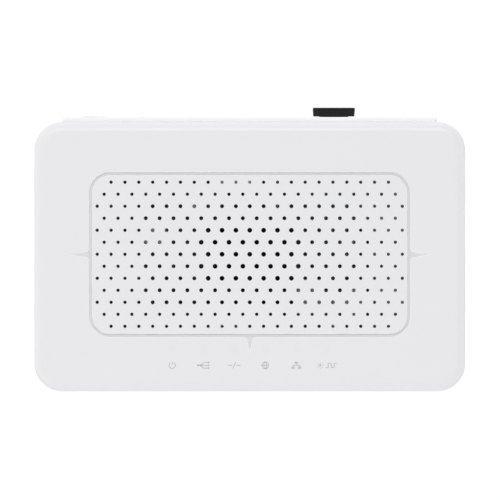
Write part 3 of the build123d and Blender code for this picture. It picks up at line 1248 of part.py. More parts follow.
with BuildPart() as fibre_tray:
    with BuildSketch(Plane.XY.offset(FLOOR_TOP)):
        with Locations(((TRAY_LEFT + TRAY_RIGHT) / 2, (TRAY_FRONT + TRAY_REAR) / 2)):
            RectangleRounded(TRAY_RIGHT - TRAY_LEFT, TRAY_REAR - TRAY_FRONT, TRAY_CORNER_R)
    extrude(amount=TRAY_THICKNESS)
    with BuildSketch(Plane.XY.offset(FLOOR_TOP + TRAY_THICKNESS)):
        with Locations(HUB_AT):
            SlotOverall(*HUB_SIZE, rotation=90)
            SlotOverall(
                HUB_SIZE[0] - 2 * HUB_WALL,
                HUB_SIZE[1] - 2 * HUB_WALL,
                rotation=90,
                mode=Mode.SUBTRACT,
            )
    extrude(amount=HUB_TOP - FLOOR_TOP - TRAY_THICKNESS)
    # two bridges across the hub, whose ends are the fingers that keep the turns down
    with BuildSketch(Plane.XY.offset(HUB_TOP)):
        with Locations((HUB_AT[0], HUB_AT[1] - FINGER_OFFSET), (HUB_AT[0], HUB_AT[1] + FINGER_OFFSET)):
            SlotOverall(*FINGER_SIZE)
    extrude(amount=FINGER_THICKNESS)
    # low posts outside the turns
    post_x = TRAY_RIGHT - POST_SIZE[0] / 2
    post_places = [(post_x, -POST_OFFSET), (post_x, POST_OFFSET)]
    plate(*POST_SIZE, FLOOR_TOP + TRAY_THICKNESS, POST_HEIGHT, post_places)
save(fibre_tray, "fibre_tray")
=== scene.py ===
import bpy
import bmesh
import math
from mathutils import Matrix, Vector

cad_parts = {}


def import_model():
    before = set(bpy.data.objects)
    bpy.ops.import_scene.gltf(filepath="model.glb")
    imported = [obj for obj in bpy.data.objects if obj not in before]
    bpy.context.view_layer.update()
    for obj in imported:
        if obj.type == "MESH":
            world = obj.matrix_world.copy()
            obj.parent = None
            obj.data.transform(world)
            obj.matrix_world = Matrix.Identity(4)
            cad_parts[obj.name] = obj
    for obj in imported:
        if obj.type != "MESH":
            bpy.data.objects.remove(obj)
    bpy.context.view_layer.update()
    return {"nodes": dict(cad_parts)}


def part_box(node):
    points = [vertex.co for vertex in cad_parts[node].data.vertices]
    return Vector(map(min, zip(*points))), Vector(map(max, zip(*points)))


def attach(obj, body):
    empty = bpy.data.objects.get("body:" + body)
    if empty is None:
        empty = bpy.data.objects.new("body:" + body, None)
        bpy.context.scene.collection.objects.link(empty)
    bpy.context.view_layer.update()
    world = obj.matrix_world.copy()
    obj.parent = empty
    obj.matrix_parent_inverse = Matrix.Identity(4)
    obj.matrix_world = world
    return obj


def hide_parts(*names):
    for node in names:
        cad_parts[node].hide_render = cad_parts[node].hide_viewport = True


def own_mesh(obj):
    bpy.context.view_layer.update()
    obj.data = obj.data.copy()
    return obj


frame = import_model()

MM = 0.001
NODES = frame["nodes"]


# ------------------------------------------------------------------ places worked out from the frame
def middle(node):
    """The centre of a CAD node's box."""
    low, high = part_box(node)
    return Vector([(a + b) / 2 for a, b in zip(low, high)])


cover_low, cover_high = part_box("top_cover")
_, panel_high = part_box("rear_panel")
SHELL_Z = cover_high[2] - 0.03 * MM  # the top outside the vent field
PANEL_FACE_Y = panel_high[1]
LAMP_Y = middle("status_leds").y
lamps_low, lamps_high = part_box("status_leds")
LAMP_COUNT = 6
LAMP_HALF_WIDTH = 1.0 * MM
LAMP_PITCH = (lamps_high[0] - lamps_low[0] - 2 * LAMP_HALF_WIDTH) / (LAMP_COUNT - 1)
LAMP_XS = [LAMP_PITCH * (i - (LAMP_COUNT - 1) / 2) for i in range(LAMP_COUNT)]


# ------------------------------------------------------------------ material kit
class Shader:
    """One Principled material, with short calls for the nodes that vary it."""

    def __init__(self, name, colour, roughness, metallic=0.0, **sockets):
        self.material = bpy.data.materials.new(name)
        self.material.use_nodes = True
        self.tree = self.material.node_tree
        self.surface = self.tree.nodes["Principled BSDF"]
        self.colour = (*colour, 1.0)
        self.put("Base Color", self.colour)
        self.put("Roughness", roughness)
        self.put("Metallic", metallic)
        for key, value in sockets.items():
            self.put(key.replace("_", " "), value)
        place = self.tree.nodes.new("ShaderNodeTexCoord")
        scale = self.node("ShaderNodeVectorMath", {0: place.outputs["Object"]}, operation="SCALE")
        scale.inputs["Scale"].default_value = 1 / MM
        self.mm = scale.outputs[0]

    def put(self, key, value):
        """Set or link one of the surface's sockets."""
        if isinstance(value, bpy.types.NodeSocket):
            self.tree.links.new(value, self.surface.inputs[key])
        else:
            self.surface.inputs[key].default_value = value

    def node(self, kind, inputs=None, **settings):
        made = self.tree.nodes.new(kind)
        for key, value in settings.items():
            setattr(made, key, value)
        for key, value in (inputs or {}).items():
            if isinstance(value, bpy.types.NodeSocket):
                self.tree.links.new(value, made.inputs[key])
            else:
                made.inputs[key].default_value = value
        return made

    def math(self, operation, first, second=0.0, third=0.0):
        made = self.node("ShaderNodeMath", {0: first, 1: second, 2: third}, operation=operation)
        return made.outputs[0]

    def axis(self, name):
        """One coordinate, in millimetres."""
        return self.node("ShaderNodeSeparateXYZ", {0: self.mm}).outputs[name]

    def stretched(self, x, y, z):
        """The place in millimetres, with each axis scaled."""
        made = self.node("ShaderNodeVectorMath", {0: self.mm, 1: (x, y, z)}, operation="MULTIPLY")
        return made.outputs[0]

    def noise(self, size, detail=2.0, place=None, rough=0.5):
        """Soft noise from 0 to 1 whose features are about this many millimetres wide."""
        made = self.node(
            "ShaderNodeTexNoise",
            {"Vector": place or self.mm, "Scale": 1 / size, "Detail": detail, "Roughness": rough},
        )
        return made.outputs["Fac"]

    def between(self, value, low, high, start=0.0, end=1.0):
        """Map value from start..end to low..high, clamped."""
        made = self.node(
            "ShaderNodeMapRange",
            {"Value": value, "From Min": start, "From Max": end, "To Min": low, "To Max": high},
        )
        return made.outputs["Result"]

    def mix(self, factor, first, second):
        made = self.node("ShaderNodeMix", data_type="RGBA")
        for key, value in ((0, factor), (6, first), (7, second)):
            if isinstance(value, bpy.types.NodeSocket):
                self.tree.links.new(value, made.inputs[key])
            else:
                made.inputs[key].default_value = value if key == 0 else (*value[:3], 1.0)
        return made.outputs[2]

    def shaded(self, factor):
        """The base colour times a factor."""
        return [channel * factor for channel in self.colour[:3]]

    def tone(self, value, spread):
        """Let the colour drift a little darker and lighter with a value from 0 to 1."""
        colour = self.mix(value, self.shaded(1 - spread), self.shaded(1 + spread))
        self.put("Base Color", colour)
        return colour

    def bump(self, height, depth, strength=1.0):
        """Relief of this depth in millimetres from a height of 0 to 1."""
        made = self.node("ShaderNodeBump", {"Height": height, "Strength": strength, "Distance": depth * MM})
        self.put("Normal", made.outputs["Normal"])


def moulded(name, colour, roughness, grain=0.22, depth=0.006, spread=0.012, **sockets):
    """Injection-moulded plastic: a fine spark-eroded grain, with slow drift in tone and gloss."""
    m = Shader(name, colour, roughness, **sockets)
    m.tone(m.noise(14.0, 3.0), spread)
    m.put("Roughness", m.between(m.noise(5.0, 4.0), roughness - 0.05, roughness + 0.05, 0.3, 0.7))
    m.bump(m.noise(grain, 3.0, rough=0.6), depth)
    return m


def plated(name, colour, roughness, along=(1, 1, 1), depth=0.004, spread=0.06):
    """Rolled or turned metal: fine lines along one axis and a little dulling."""
    m = Shader(name, colour, roughness, metallic=1.0)
    lines = m.noise(0.35, 4.0, m.stretched(*along))
    m.tone(m.noise(3.0, 4.0), spread)
    m.put("Roughness", m.between(lines, roughness - 0.06, roughness + 0.10, 0.3, 0.7))
    m.bump(lines, depth)
    return m


# ------------------------------------------------------------------ materials
# painted highlight on the bevelled edges of the top cover's carved lines, and painted shade on their
# floors, by depth below its top, in millimetres
RIM_LIGHT, RIM_BEGINS, RIM_ENDS = 0.7, (0.01, 0.04), (0.16, 0.21)
SPIKE_SHADE, SPIKE_FLOOR = 0.23, (0.17, 0.22)
GROOVE_SHADE, GROOVE_FLOOR = 0.05, (0.24, 0.40)
CARVED_DEPTH = 0.8
ROUNDED_EDGE = 6.0  # the top is flat this far in from the cover's sides
# painted shade over each lamp, for the dark inside seen through the thin wall
LAMP_SHADE, LAMP_SPOT_FADE = 0.036, (0.5, 1.9)


def carved_top(m, depth):
    """1 on the flat part of the cover's top and in what is carved into it, and 0 elsewhere."""
    sides = (
        ("LESS_THAN", m.math("ABSOLUTE", m.axis("X")), cover_high[0] / MM - ROUNDED_EDGE),
        ("GREATER_THAN", m.axis("Y"), cover_low[1] / MM + ROUNDED_EDGE),
        ("LESS_THAN", m.axis("Y"), cover_high[1] / MM - ROUNDED_EDGE),
    )
    inside = m.math("LESS_THAN", depth, CARVED_DEPTH)
    for comparison, value, limit in sides:
        inside = m.math("MULTIPLY", inside, m.math(comparison, value, limit))
    return inside


def distance_to_lamp(m):
    """How far a point of the top is from the nearest lamp's axis, in millimetres."""
    along = m.math("SUBTRACT", m.axis("X"), LAMP_XS[0] / MM)
    pitches = m.math("ROUND", m.math("DIVIDE", along, LAMP_PITCH / MM))
    nearest = m.math("MINIMUM", m.math("MAXIMUM", pitches, 0.0), LAMP_COUNT - 1)
    aside = m.math("SUBTRACT", along, m.math("MULTIPLY", nearest, LAMP_PITCH / MM))
    ahead = m.math("SUBTRACT", m.axis("Y"), LAMP_Y / MM)
    squares = m.math("ADD", m.math("MULTIPLY", aside, aside), m.math("MULTIPLY", ahead, ahead))
    return m.math("SQRT", squares)


def cover_material():
    """Satin white, with a painted highlight on bevels, painted shade in carved lines and painted shade over
    each lamp, where the wall is thin.
    """
    m = Shader("cover_white", (0.785, 0.777, 0.797), 0.42, Specular_IOR_Level=0.45)
    colour = m.tone(m.noise(26.0, 2.0), 0.006)
    depth = m.math("SUBTRACT", SHELL_Z / MM, m.axis("Z"))
    carved = carved_top(m, depth)
    # painted highlight on the bevelled edges of the carved lines, rising and falling with depth
    rim_highlight_rise = m.between(depth, 0.0, RIM_LIGHT, *RIM_BEGINS)
    painted_rim_highlight = m.math("MULTIPLY", rim_highlight_rise, m.between(depth, 1.0, 0.0, *RIM_ENDS))
    # painted shade on the floors of the spike recesses and the groove, darker with depth
    spike_floor_shade = m.between(depth, 0.0, SPIKE_SHADE, *SPIKE_FLOOR)
    painted_sunk_shade = m.math("ADD", spike_floor_shade, m.between(depth, 0.0, GROOVE_SHADE, *GROOVE_FLOOR))
    # mix the painted bevel highlight toward near white
    colour = m.mix(m.math("MULTIPLY", painted_rim_highlight, carved), colour, (0.95, 0.945, 0.96))
    # mix the painted floor shade toward dark grey
    colour = m.mix(m.math("MULTIPLY", painted_sunk_shade, carved), colour, (0.42, 0.42, 0.44))
    # painted shade over each lamp, fading with distance from its axis
    lamp_spot_shade = m.between(distance_to_lamp(m), LAMP_SHADE, 0.0, *LAMP_SPOT_FADE)
    m.put("Base Color", m.mix(lamp_spot_shade, colour, (0.35, 0.36, 0.38)))
    m.put("Roughness", m.between(m.noise(7.0, 4.0), 0.38, 0.47, 0.3, 0.7))
    m.bump(m.noise(0.25, 3.0, rough=0.6), 0.004)
    return m.material


def board_material():
    """Solder mask over copper tracks, with a scatter of plated vias."""
    m = Shader("solder_mask", (0.010, 0.050, 0.026), 0.32, Coat_Weight=0.4, Coat_Roughness=0.2)
    tracks = m.node(
        "ShaderNodeTexBrick",
        {"Vector": m.mm, "Scale": 0.42, "Mortar Size": 0.09, "Brick Width": 1.9, "Row Height": 0.32},
        offset=0.37,
    ).outputs["Fac"]
    vias = m.node("ShaderNodeTexVoronoi", {"Vector": m.mm, "Scale": 0.45}).outputs["Distance"]
    dots = m.between(vias, 1.0, 0.0, 0.10, 0.14)
    copper = m.mix(tracks, (0.018, 0.085, 0.040), (0.008, 0.038, 0.020))
    m.put("Base Color", m.mix(dots, copper, (0.45, 0.36, 0.20)))
    m.bump(m.math("ADD", tracks, m.noise(0.4)), 0.03, 0.5)
    return m.material


CAN_TOP = 1.4  # the cans are bare from this far below the tallest one's top


def capacitor_material():
    """A black sleeve with a grey stripe, open over the bare can's top."""
    m = Shader("capacitor_sleeve", (0.02, 0.022, 0.03), 0.35)
    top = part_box("electrolytic_capacitors")[1][2] / MM
    bare = m.math("GREATER_THAN", m.axis("Z"), top - CAN_TOP)
    stripe = m.math("GREATER_THAN", m.noise(6.0, 0.0), 0.58)
    sleeve = m.mix(stripe, (0.015, 0.017, 0.024), (0.30, 0.31, 0.33))
    m.put("Base Color", m.mix(bare, sleeve, (0.66, 0.66, 0.67)))
    m.put("Metallic", bare)
    m.put("Roughness", m.between(m.noise(1.5, 3.0), 0.26, 0.42))
    m.bump(m.noise(0.5), 0.01)
    return m.material


LABEL_MARGIN = 1.6
LABEL_ROWS = 4
BORDER_HALF_WIDTH, RULE_HALF_WIDTH = 0.12, 0.08


def label_material():
    """Silver film with a printed border and blank boxes, and no words."""
    m = Shader("label_film", (0.60, 0.61, 0.62), 0.35)
    low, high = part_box("rating_label")
    frame_x = (high[0] - low[0]) / 2 / MM - LABEL_MARGIN
    frame_y = (high[1] - low[1]) / 2 / MM - LABEL_MARGIN
    y = m.math("SUBTRACT", m.axis("Y"), middle("rating_label").y / MM)
    past_x = m.math("SUBTRACT", m.math("ABSOLUTE", m.axis("X")), frame_x)
    past_y = m.math("SUBTRACT", m.math("ABSOLUTE", y), frame_y)
    edge = m.math("MAXIMUM", past_x, past_y)
    border = m.math("LESS_THAN", m.math("ABSOLUTE", edge), BORDER_HALF_WIDTH)
    rows = m.math("PINGPONG", m.math("ADD", y, frame_y), frame_y / LABEL_ROWS)
    rules = m.math("MULTIPLY", m.math("LESS_THAN", rows, RULE_HALF_WIDTH), m.math("LESS_THAN", edge, 0.0))
    ink = m.math("MAXIMUM", border, rules)
    film = m.tone(m.noise(9.0, 3.0), 0.03)
    m.put("Base Color", m.mix(ink, film, (0.08, 0.08, 0.09)))
    m.put("Roughness", m.between(m.noise(0.6, 3.0), 0.30, 0.42))
    m.bump(m.noise(1.4, 2.0), 0.01)
    return m.material


def light_guide_material():
    """Clear acrylic."""
    m = Shader("clear_acrylic", (0.92, 0.95, 0.96), 0.10, Transmission_Weight=0.85, IOR=1.49)
    m.put("Roughness", m.between(m.noise(2.0, 3.0), 0.05, 0.16))
    m.bump(m.noise(3.0), 0.01)
    return m.material


LENS_HEIGHT = 0.35


def lamp_material():
    """A white package round a pale yellow lens."""
    m = Shader("lamp_package", (0.78, 0.78, 0.74), 0.35)
    lens = m.math("GREATER_THAN", m.axis("Z"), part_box("status_leds")[1][2] / MM - LENS_HEIGHT)
    m.put("Base Color", m.mix(lens, (0.78, 0.78, 0.75), (0.75, 0.70, 0.28)))
    m.bump(m.noise(0.3), 0.01)
    return m.material


def fibre_connector_material(name, colour):
    """The glossier plastic of fibre connectors."""
    return moulded(name, colour, 0.34, 0.3, 0.004, 0.03, Coat_Weight=0.15).material


white_panel = moulded("panel_white", (0.895, 0.892, 0.902), 0.44, 0.25, 0.005, 0.008)
white_base = moulded("base_white", (0.775, 0.769, 0.787), 0.48, 0.30, 0.012, 0.010)
black_cap = moulded("cap_black", (0.0085, 0.0085, 0.0090), 0.50, 0.30, 0.010, 0.10, Specular_IOR_Level=0.22)
grey_button = moulded("button_grey", (0.52, 0.525, 0.54), 0.36, 0.20, 0.004, 0.02)
foot_rubber = moulded("foot_rubber", (0.36, 0.36, 0.37), 0.78, 0.40, 0.030, 0.04)
black_nylon = moulded("nylon_black", (0.018, 0.018, 0.020), 0.50, 0.30, 0.010, 0.12)
chip_epoxy = moulded("chip_epoxy", (0.022, 0.022, 0.024), 0.62, 0.18, 0.020, 0.15)
gap_pad = moulded("gap_pad", (0.28, 0.36, 0.48), 0.85, 0.50, 0.040, 0.06)
natural = moulded("natural_plastic", (0.70, 0.69, 0.66), 0.50, 0.30, 0.010, 0.02)
ferrite = moulded("ferrite", (0.045, 0.045, 0.05), 0.60, 0.25, 0.030, 0.15)
zirconia = moulded("zirconia", (0.86, 0.85, 0.82), 0.16, 0.20, 0.001, 0.01)
fibre_jacket = moulded("fibre_jacket", (0.80, 0.80, 0.74), 0.38, 0.40, 0.004, 0.02)
screw_steel = plated("screw_steel", (0.60, 0.60, 0.60), 0.34)
tin_shell = plated("tin_shell", (0.66, 0.65, 0.62), 0.30, (1, 0.08, 1))
sink_black = plated("sink_black", (0.030, 0.030, 0.033), 0.45, (1, 0.06, 1))
gold = plated("contact_gold", (0.83, 0.60, 0.26), 0.25)
bare_can = plated("bare_can", (0.70, 0.70, 0.71), 0.30)
spring_wire = plated("spring_wire", (0.52, 0.52, 0.53), 0.28)

FINISHES = {
    "top_cover": cover_material(),
    "bottom_cover": white_base.material,
    "rear_panel": white_panel.material,
    "rubber_feet": foot_rubber.material,
    "case_screws": screw_steel.material,
    "board_screws": screw_steel.material,
    "rating_label": label_material(),
    "main_board": board_material(),
    "thermal_pad": gap_pad.material,
    "heat_sink": sink_black.material,
    "electrolytic_capacitors": capacitor_material(),
    "power_inductors": ferrite.material,
    "crystal": bare_can.material,
    "chip_components": natural.material,
    "status_leds": lamp_material(),
    "light_guide": light_guide_material(),
    "lan_jack_shell": tin_shell.material,
    "lan_jack_contacts": gold.material,
    "dc_jack_pin": bare_can.material,
    "dc_jack_spring": tin_shell.material,
    "switch_spring": spring_wire.material,
    "power_button": grey_button.material,
    "optical_adapter": fibre_connector_material("adapter_green", (0.020, 0.210, 0.095)),
    "fibre_connector": fibre_connector_material("plug_green", (0.018, 0.190, 0.085)),
    "fibre_boot": fibre_connector_material("boot_green", (0.016, 0.160, 0.075)),
    "fibre_pigtail": fibre_jacket.material,
    "transceiver_boot": ferrite.material,
    "transceiver_cans": gold.material,
    "transceiver_pins": gold.material,
    "optical_transceiver": tin_shell.material,
    "transceiver_shield": tin_shell.material,
    "dust_cap": black_cap.material,
}
SHARED_FINISHES = (
    (black_nylon, ("debug_header", "lan_jack_insert", "dc_jack_body")),
    (black_nylon, ("power_switch_body", "reset_switch_body")),
    (chip_epoxy, ("main_processor", "memory_chip", "flash_chip")),
    (chip_epoxy, ("laser_driver_chip", "regulator_chips", "lan_transformer")),
    (natural, ("switch_plunger", "reset_plunger", "sleeve_holder", "fibre_tray")),
    (zirconia, ("adapter_sleeve", "fibre_ferrule")),
)
for finish, sharing_nodes in SHARED_FINISHES:
    for sharing_node in sharing_nodes:
        FINISHES[sharing_node] = finish.material

for node_name, cad_piece in NODES.items():
    for material_slot in cad_piece.material_slots:
        material_slot.material = FINISHES[node_name]


# ------------------------------------------------------------------ smooth shading of the CAD meshes
SMOOTH_BELOW = math.radians(32)
WELD_DISTANCE = 0.0005 * MM


def smoothing_group():
    """Geometry nodes that shade faces smooth and keep every edge above an angle sharp."""
    group = bpy.data.node_groups.new("smooth_by_angle", "GeometryNodeTree")
    group.interface.new_socket("Geometry", in_out="INPUT", socket_type="NodeSocketGeometry")
    group.interface.new_socket("Geometry", in_out="OUTPUT", socket_type="NodeSocketGeometry")
    start = group.nodes.new("NodeGroupInput")
    end = group.nodes.new("NodeGroupOutput")
    weld = group.nodes.new("GeometryNodeMergeByDistance")
    weld.inputs["Distance"].default_value = WELD_DISTANCE
    faces = group.nodes.new("GeometryNodeSetShadeSmooth")
    edges = group.nodes.new("GeometryNodeSetShadeSmooth")
    edges.domain = "EDGE"
    angle = group.nodes.new("GeometryNodeInputMeshEdgeAngle")
    soft = group.nodes.new("FunctionNodeCompare")
    soft.data_type = "FLOAT"
    soft.operation = "LESS_THAN"
    soft.inputs["B"].default_value = SMOOTH_BELOW
    links = group.links
    links.new(start.outputs[0], weld.inputs["Geometry"])
    links.new(weld.outputs["Geometry"], faces.inputs["Geometry"])
    links.new(faces.outputs["Geometry"], edges.inputs["Geometry"])
    links.new(angle.outputs["Unsigned Angle"], soft.inputs["A"])
    links.new(soft.outputs["Result"], edges.inputs["Shade Smooth"])
    links.new(edges.outputs["Geometry"], end.inputs[0])
    return group


SMOOTHING = smoothing_group()


def shade(piece):
    """Smooth rounds and flat faces, with the flat faces' normals kept true."""
    nodes = piece.modifiers.new("smooth_by_angle", "NODES")
    nodes.node_group = SMOOTHING
    weighted = piece.modifiers.new("weighted_normals", "WEIGHTED_NORMAL")
    weighted.keep_sharp = True
    weighted.weight = 100


for cad_piece in NODES.values():
    shade(cad_piece)


# ------------------------------------------------------------------ the switch's spring, copied onto the housing
def switch_coil():
    """The power switch's spring, as a copy fixed to the housing in place of the hidden CAD spring."""
    node = NODES["switch_spring"]
    coil = bpy.data.objects.new("switch_coil", node.data.copy())
    bpy.context.scene.collection.objects.link(coil)
    shade(coil)
    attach(coil, "housing")
    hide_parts("switch_spring")
    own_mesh(coil)


switch_coil()


# ------------------------------------------------------------------ printed pictograms
PRINT_THICKNESS = 0.02 * MM


class Print:
    """Flat ink shapes, drawn in millimetres on a plane and given a hair of thickness."""

    def __init__(self):
        self.mesh = bmesh.new()
        self.place = Matrix.Identity(4)

    def at(self, x, y):
        self.place = Matrix.Translation((x, y, 0))

    def polygon(self, points):
        """A filled convex outline."""
        thickness = PRINT_THICKNESS / MM
        low = [self.mesh.verts.new(self.place @ Vector((x, y, 0))) for x, y in points]
        high = [self.mesh.verts.new(self.place @ Vector((x, y, thickness))) for x, y in points]
        self.mesh.faces.new(list(reversed(low)))
        self.mesh.faces.new(high)
        for i in range(len(points)):
            j = (i + 1) % len(points)
            self.mesh.faces.new((low[i], low[j], high[j], high[i]))

    def ribbon(self, points, width, closed=False):
        """A line of even width through the points, mitred at each."""
        count = len(points)
        left, right = [], []
        for i, point in enumerate(points):
            before = points[i - 1] if i or closed else None
            after = points[(i + 1) % count] if i < count - 1 or closed else None
            ways = []
            if before is not None:
                ways.append((Vector(point) - Vector(before)).normalized())
            if after is not None:
                ways.append((Vector(after) - Vector(point)).normalized())
            along = sum(ways, Vector((0, 0))).normalized()
            side = Vector((-along.y, along.x))
            reach = width / 2 / max(0.5, side.dot(Vector((-ways[0].y, ways[0].x))))
            left.append(Vector(point) + side * reach)
            right.append(Vector(point) - side * reach)
        for i in range(count if closed else count - 1):
            j = (i + 1) % count
            self.polygon([right[i], right[j], left[j], left[i]])

    def arc(self, x, y, radius, start, sweep, width, squash=1.0):
        """A round stroke from a start angle in degrees, counter-clockwise."""
        steps = max(6, int(abs(sweep) / 9))
        closed = abs(sweep) >= 360
        points = []
        for i in range(steps if closed else steps + 1):
            turn = math.radians(start + sweep * i / steps)
            points.append((x + radius * squash * math.cos(turn), y + radius * math.sin(turn)))
        self.ribbon(points, width, closed)

    def disc(self, x, y, radius, sides=20):
        turns = [2 * math.pi * i / sides for i in range(sides)]
        self.polygon([(x + radius * math.cos(t), y + radius * math.sin(t)) for t in turns])

    def box(self, x, y, wide, high):
        corners = ((-1, -1), (1, -1), (1, 1), (-1, 1))
        self.polygon([(x + side * wide / 2, y + end * high / 2) for side, end in corners])

    def piece(self, name, material, body, slot, place):
        """Finish as one object: millimetres to metres, then onto its surface."""
        data = bpy.data.meshes.new(name)
        bmesh.ops.recalc_face_normals(self.mesh, faces=self.mesh.faces)
        self.mesh.to_mesh(data)
        self.mesh.free()
        data.transform(place @ Matrix.Scale(MM, 4))
        made = bpy.data.objects.new(name, data)
        bpy.context.scene.collection.objects.link(made)
        data.materials.append(material)
        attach(made, body)


LINE = 0.26  # the signs' line width in millimetres; each sign is about 2 mm high


def power_sign(ink):
    """An open ring with a stroke in its gap."""
    ink.arc(0, 0, 0.95, 125, 290, LINE)
    ink.ribbon([(0, 0.15), (0, 1.15)], LINE)


def splitter_sign(ink):
    """One line that splits into three, as a passive optical network does."""
    ink.disc(-1.6, 0, 0.32)
    ink.ribbon([(-1.4, 0), (1.3, 0)], LINE)
    for side in (-1, 1):
        ink.ribbon([(-0.9, 0), (0.1, 0.85 * side), (1.3, 0.85 * side)], LINE)
        ink.disc(1.6, 0.85 * side, 0.30)
    ink.disc(1.6, 0, 0.30)


def lost_signal_sign(ink):
    """A line that is broken by a gap and a slash."""
    ink.ribbon([(-1.9, 0), (-0.65, 0)], LINE)
    ink.ribbon([(0.65, 0), (1.9, 0)], LINE)
    ink.ribbon([(-0.45, -0.95), (0.45, 0.95)], LINE)


def globe_sign(ink):
    """A ring with a meridian and the equator."""
    ink.arc(0, 0, 1.0, 0, 360, LINE * 0.85)
    ink.arc(0, 0, 1.0, 0, 360, LINE * 0.7, 0.45)
    ink.ribbon([(-1.0, 0), (1.0, 0)], LINE * 0.7)


def network_sign(ink, size=1.0):
    """Three boxes joined by lines."""
    ink.box(0, 0.75 * size, 1.0 * size, 0.65 * size)
    ink.ribbon([(0, 0.4 * size), (0, 0)], LINE * 0.8)
    ink.ribbon([(-1.1 * size, 0), (1.1 * size, 0)], LINE * 0.8)
    for side in (-1, 1):
        ink.ribbon([(1.0 * size * side, 0), (1.0 * size * side, -0.4 * size)], LINE * 0.8)
        ink.box(1.0 * size * side, -0.72 * size, 1.0 * size, 0.65 * size)


def optical_signal_sign(ink):
    """A shining dot beside a square wave."""
    dot_x, rays, inner, outer = -2.2, 8, 0.62, 1.0
    ink.disc(dot_x, 0, 0.36)
    for i in range(rays):
        turn = math.radians(360 * i / rays)
        ends = [(dot_x + reach * math.cos(turn), reach * math.sin(turn)) for reach in (inner, outer)]
        ink.ribbon(ends, LINE * 0.8)
    rise = [(-0.5, -0.6), (0.3, -0.6), (0.3, 0.6), (1.2, 0.6)]
    ink.ribbon(rise + [(1.2, -0.6), (2.1, -0.6), (2.1, 0.6), (2.9, 0.6)], LINE)


def reset_sign(ink):
    """A ring that ends in an arrowhead."""
    ink.arc(0, 0, 0.75, 60, 280, LINE * 0.9)
    ink.polygon([(0.05, 0.38), (0.80, 0.62), (0.18, 1.12)])


def socket_sign(ink):
    """A barrel plug seen end on."""
    ink.arc(0, 0, 0.85, 0, 360, LINE * 0.9)
    ink.disc(0, 0, 0.26)
    ink.ribbon([(-1.9, 0), (-0.85, 0)], LINE * 0.9)
    ink.ribbon([(0.26, 0), (1.9, 0)], LINE * 0.9)


ink_grey = moulded("print_grey", (0.52, 0.52, 0.54), 0.55, 0.30, 0.002, 0.03)
SIGN_Y = LAMP_Y / MM - 4.95  # in front of the lamps
top_print = Print()
LAMP_SIGNS = [power_sign, splitter_sign, lost_signal_sign, globe_sign, network_sign, optical_signal_sign]
for lamp_x, draw_sign in zip(LAMP_XS, LAMP_SIGNS):
    top_print.at(lamp_x / MM, SIGN_Y)
    draw_sign(top_print)
on_the_top = Matrix.Translation((0, 0, SHELL_Z))
top_print.piece("lamp_pictograms", ink_grey.material, "housing", "cover_plastic", on_the_top)

# the port panel's pictograms are seen from behind, so sketch x runs along -X
panel_print = Print()
UPPER_SIGN_Z = panel_high[2] / MM - 2.6
RESET_SIGN_ABOVE = 3.2
LAN_SIGN_ASIDE, CAP_SIGN_ASIDE = 2.6, 3.4
for port, draw_sign, sign_z in (
    ("power_button", power_sign, UPPER_SIGN_Z),
    ("dc_jack_body", socket_sign, UPPER_SIGN_Z),
    ("reset_plunger", reset_sign, middle("reset_plunger").z / MM + RESET_SIGN_ABOVE),
):
    panel_print.at(-middle(port).x / MM, sign_z)
    draw_sign(panel_print)
panel_print.at(-(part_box("lan_jack_shell")[0][0] / MM) + LAN_SIGN_ASIDE, middle("lan_jack_shell").z / MM)
network_sign(panel_print, 0.9)
panel_print.at(-(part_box("dust_cap")[0][0] / MM) + CAP_SIGN_ASIDE, middle("dust_cap").z / MM)
splitter_sign(panel_print)
rear_upright = Matrix(((-1, 0, 0, 0), (0, 0, 1, PANEL_FACE_Y), (0, 1, 0, 0), (0, 0, 0, 1)))
panel_print.piece("port_pictograms", ink_grey.material, "housing", "panel_plastic", rear_upright)


# ------------------------------------------------------------------ floor, lights and camera
FLOOR_SIZE = 4.0
FLOOR_GAP = 0.05 * MM  # below the feet, so that the two faces never share a plane
FLOOR_GREY, FLOOR_GLOW = 0.14, 0.92
GLOW_SIZE = (0.118, 0.070)
GLOW_WATTS = 0.0036
GLOW_DEPTH = 2.1 * MM  # just under the cover's roof
OVERHEAD_Z = 0.6  # on the unit sphere: from here up the tent is as bright as its zenith
HORIZON_BLUR = 0.02  # over this much below the horizon it fades to its lower part
LENS_VIEW = 0.15306  # what the frame spans at the top cover's height
CAMERA_HEIGHT = 4.0  # above the top cover
CAMERA_SHIFT = (0.07 * MM, -0.15 * MM)
SENSOR_WIDTH = 36
# name, place, size and watts
STUDIO_LIGHTS = (
    ("key_rear", (-0.30, 1.60, 2.90), (2.4, 1.2), 68.0),
    ("top_front", (-0.02, -0.25, 0.55), (0.5, 0.4), 0.50),
    ("fill_front", (0.05, -0.80, 0.28), (1.4, 0.30), 0.40),
)


def floor():
    """A white sweep that glows enough to lose the shadows, and can't be seen from below."""
    bpy.ops.mesh.primitive_plane_add(size=FLOOR_SIZE, location=(0, 0, -FLOOR_GAP))
    plane = bpy.context.object
    plane.name = "studio_floor"
    m = bpy.data.materials.new("studio_floor")
    m.use_nodes = True
    nodes, links = m.node_tree.nodes, m.node_tree.links
    surface = nodes["Principled BSDF"]
    surface.inputs["Base Color"].default_value = (FLOOR_GREY, FLOOR_GREY, FLOOR_GREY, 1)
    surface.inputs["Roughness"].default_value = 1.0
    surface.inputs["Specular IOR Level"].default_value = 0.0
    surface.inputs["Emission Color"].default_value = (1, 1, 1, 1)
    surface.inputs["Emission Strength"].default_value = FLOOR_GLOW
    clear = nodes.new("ShaderNodeBsdfTransparent")
    side = nodes.new("ShaderNodeNewGeometry")
    choice = nodes.new("ShaderNodeMixShader")
    links.new(side.outputs["Backfacing"], choice.inputs[0])
    links.new(surface.outputs[0], choice.inputs[1])
    links.new(clear.outputs[0], choice.inputs[2])
    links.new(choice.outputs[0], nodes["Material Output"].inputs["Surface"])
    plane.data.materials.append(m)


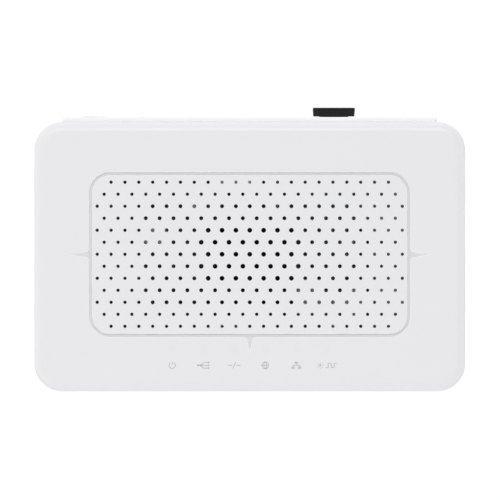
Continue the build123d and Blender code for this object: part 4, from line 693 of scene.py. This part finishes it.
def area_light(name, place, size, watts):
    """A soft rectangular light that the camera doesn't see."""
    lamp = bpy.data.lights.new(name, "AREA")
    lamp.shape = "RECTANGLE"
    lamp.size, lamp.size_y = size
    lamp.energy = watts
    holder = bpy.data.objects.new(name, lamp)
    holder.location = place
    holder.visible_camera = False
    bpy.context.scene.collection.objects.link(holder)
    return holder


def studio_lights():
    """A far key from the rear and two weak lights in front, all aimed at the origin."""
    for name, place, size, watts in STUDIO_LIGHTS:
        holder = area_light(name, place, size, watts)
        holder.rotation_euler = (-Vector(place)).to_track_quat("-Z", "Y").to_euler()


def glow_through_the_case():
    """The daylight that the thin white shell lets into the case, as a weak light under its roof."""
    place = (0, (cover_low[1] + cover_high[1]) / 2, cover_high[2] - GLOW_DEPTH)
    area_light("case_glow", place, GLOW_SIZE, GLOW_WATTS)


def world(zenith, horizon, below, front_gain):
    """A plain white tent: brightest at the horizon, and a little brighter in front."""
    sky = bpy.data.worlds.new("studio")
    sky.use_nodes = True
    nodes, links = sky.node_tree.nodes, sky.node_tree.links
    back = nodes["Background"]
    back.inputs["Color"].default_value = (1, 1, 1, 1)
    way = nodes.new("ShaderNodeSeparateXYZ")
    links.new(nodes.new("ShaderNodeTexCoord").outputs["Generated"], way.inputs[0])
    above = nodes.new("ShaderNodeMapRange")
    above.inputs["From Max"].default_value = OVERHEAD_Z
    above.inputs["To Min"].default_value = horizon
    above.inputs["To Max"].default_value = zenith
    links.new(way.outputs["Z"], above.inputs["Value"])
    under = nodes.new("ShaderNodeMapRange")
    under.inputs["From Min"].default_value = -HORIZON_BLUR
    under.inputs["From Max"].default_value = 0.0
    under.inputs["To Min"].default_value = below / horizon
    links.new(way.outputs["Z"], under.inputs["Value"])
    front = nodes.new("ShaderNodeMath")
    front.operation = "MULTIPLY_ADD"
    front.inputs[1].default_value = -front_gain
    front.inputs[2].default_value = 1.0
    links.new(way.outputs["Y"], front.inputs[0])
    strength = above.outputs["Result"]
    for factor in (under.outputs["Result"], front.outputs[0]):
        product = nodes.new("ShaderNodeMath")
        product.operation = "MULTIPLY"
        links.new(strength, product.inputs[0])
        links.new(factor, product.inputs[1])
        strength = product.outputs[0]
    links.new(strength, back.inputs["Strength"])
    bpy.context.scene.world = sky


def camera():
    """Straight down from above, from far enough to show almost no perspective."""
    data = bpy.data.cameras.new("camera")
    data.sensor_width = SENSOR_WIDTH
    data.lens = SENSOR_WIDTH * CAMERA_HEIGHT / LENS_VIEW
    data.clip_end = 20
    view = bpy.data.objects.new("camera", data)
    view.location = (*CAMERA_SHIFT, cover_high[2] + CAMERA_HEIGHT)
    bpy.context.scene.collection.objects.link(view)
    bpy.context.scene.camera = view


floor()
world(zenith=0.25, horizon=1.54, below=0.95, front_gain=0.38)
studio_lights()
glow_through_the_case()
camera()
bpy.context.scene.view_settings.view_transform = "Standard"
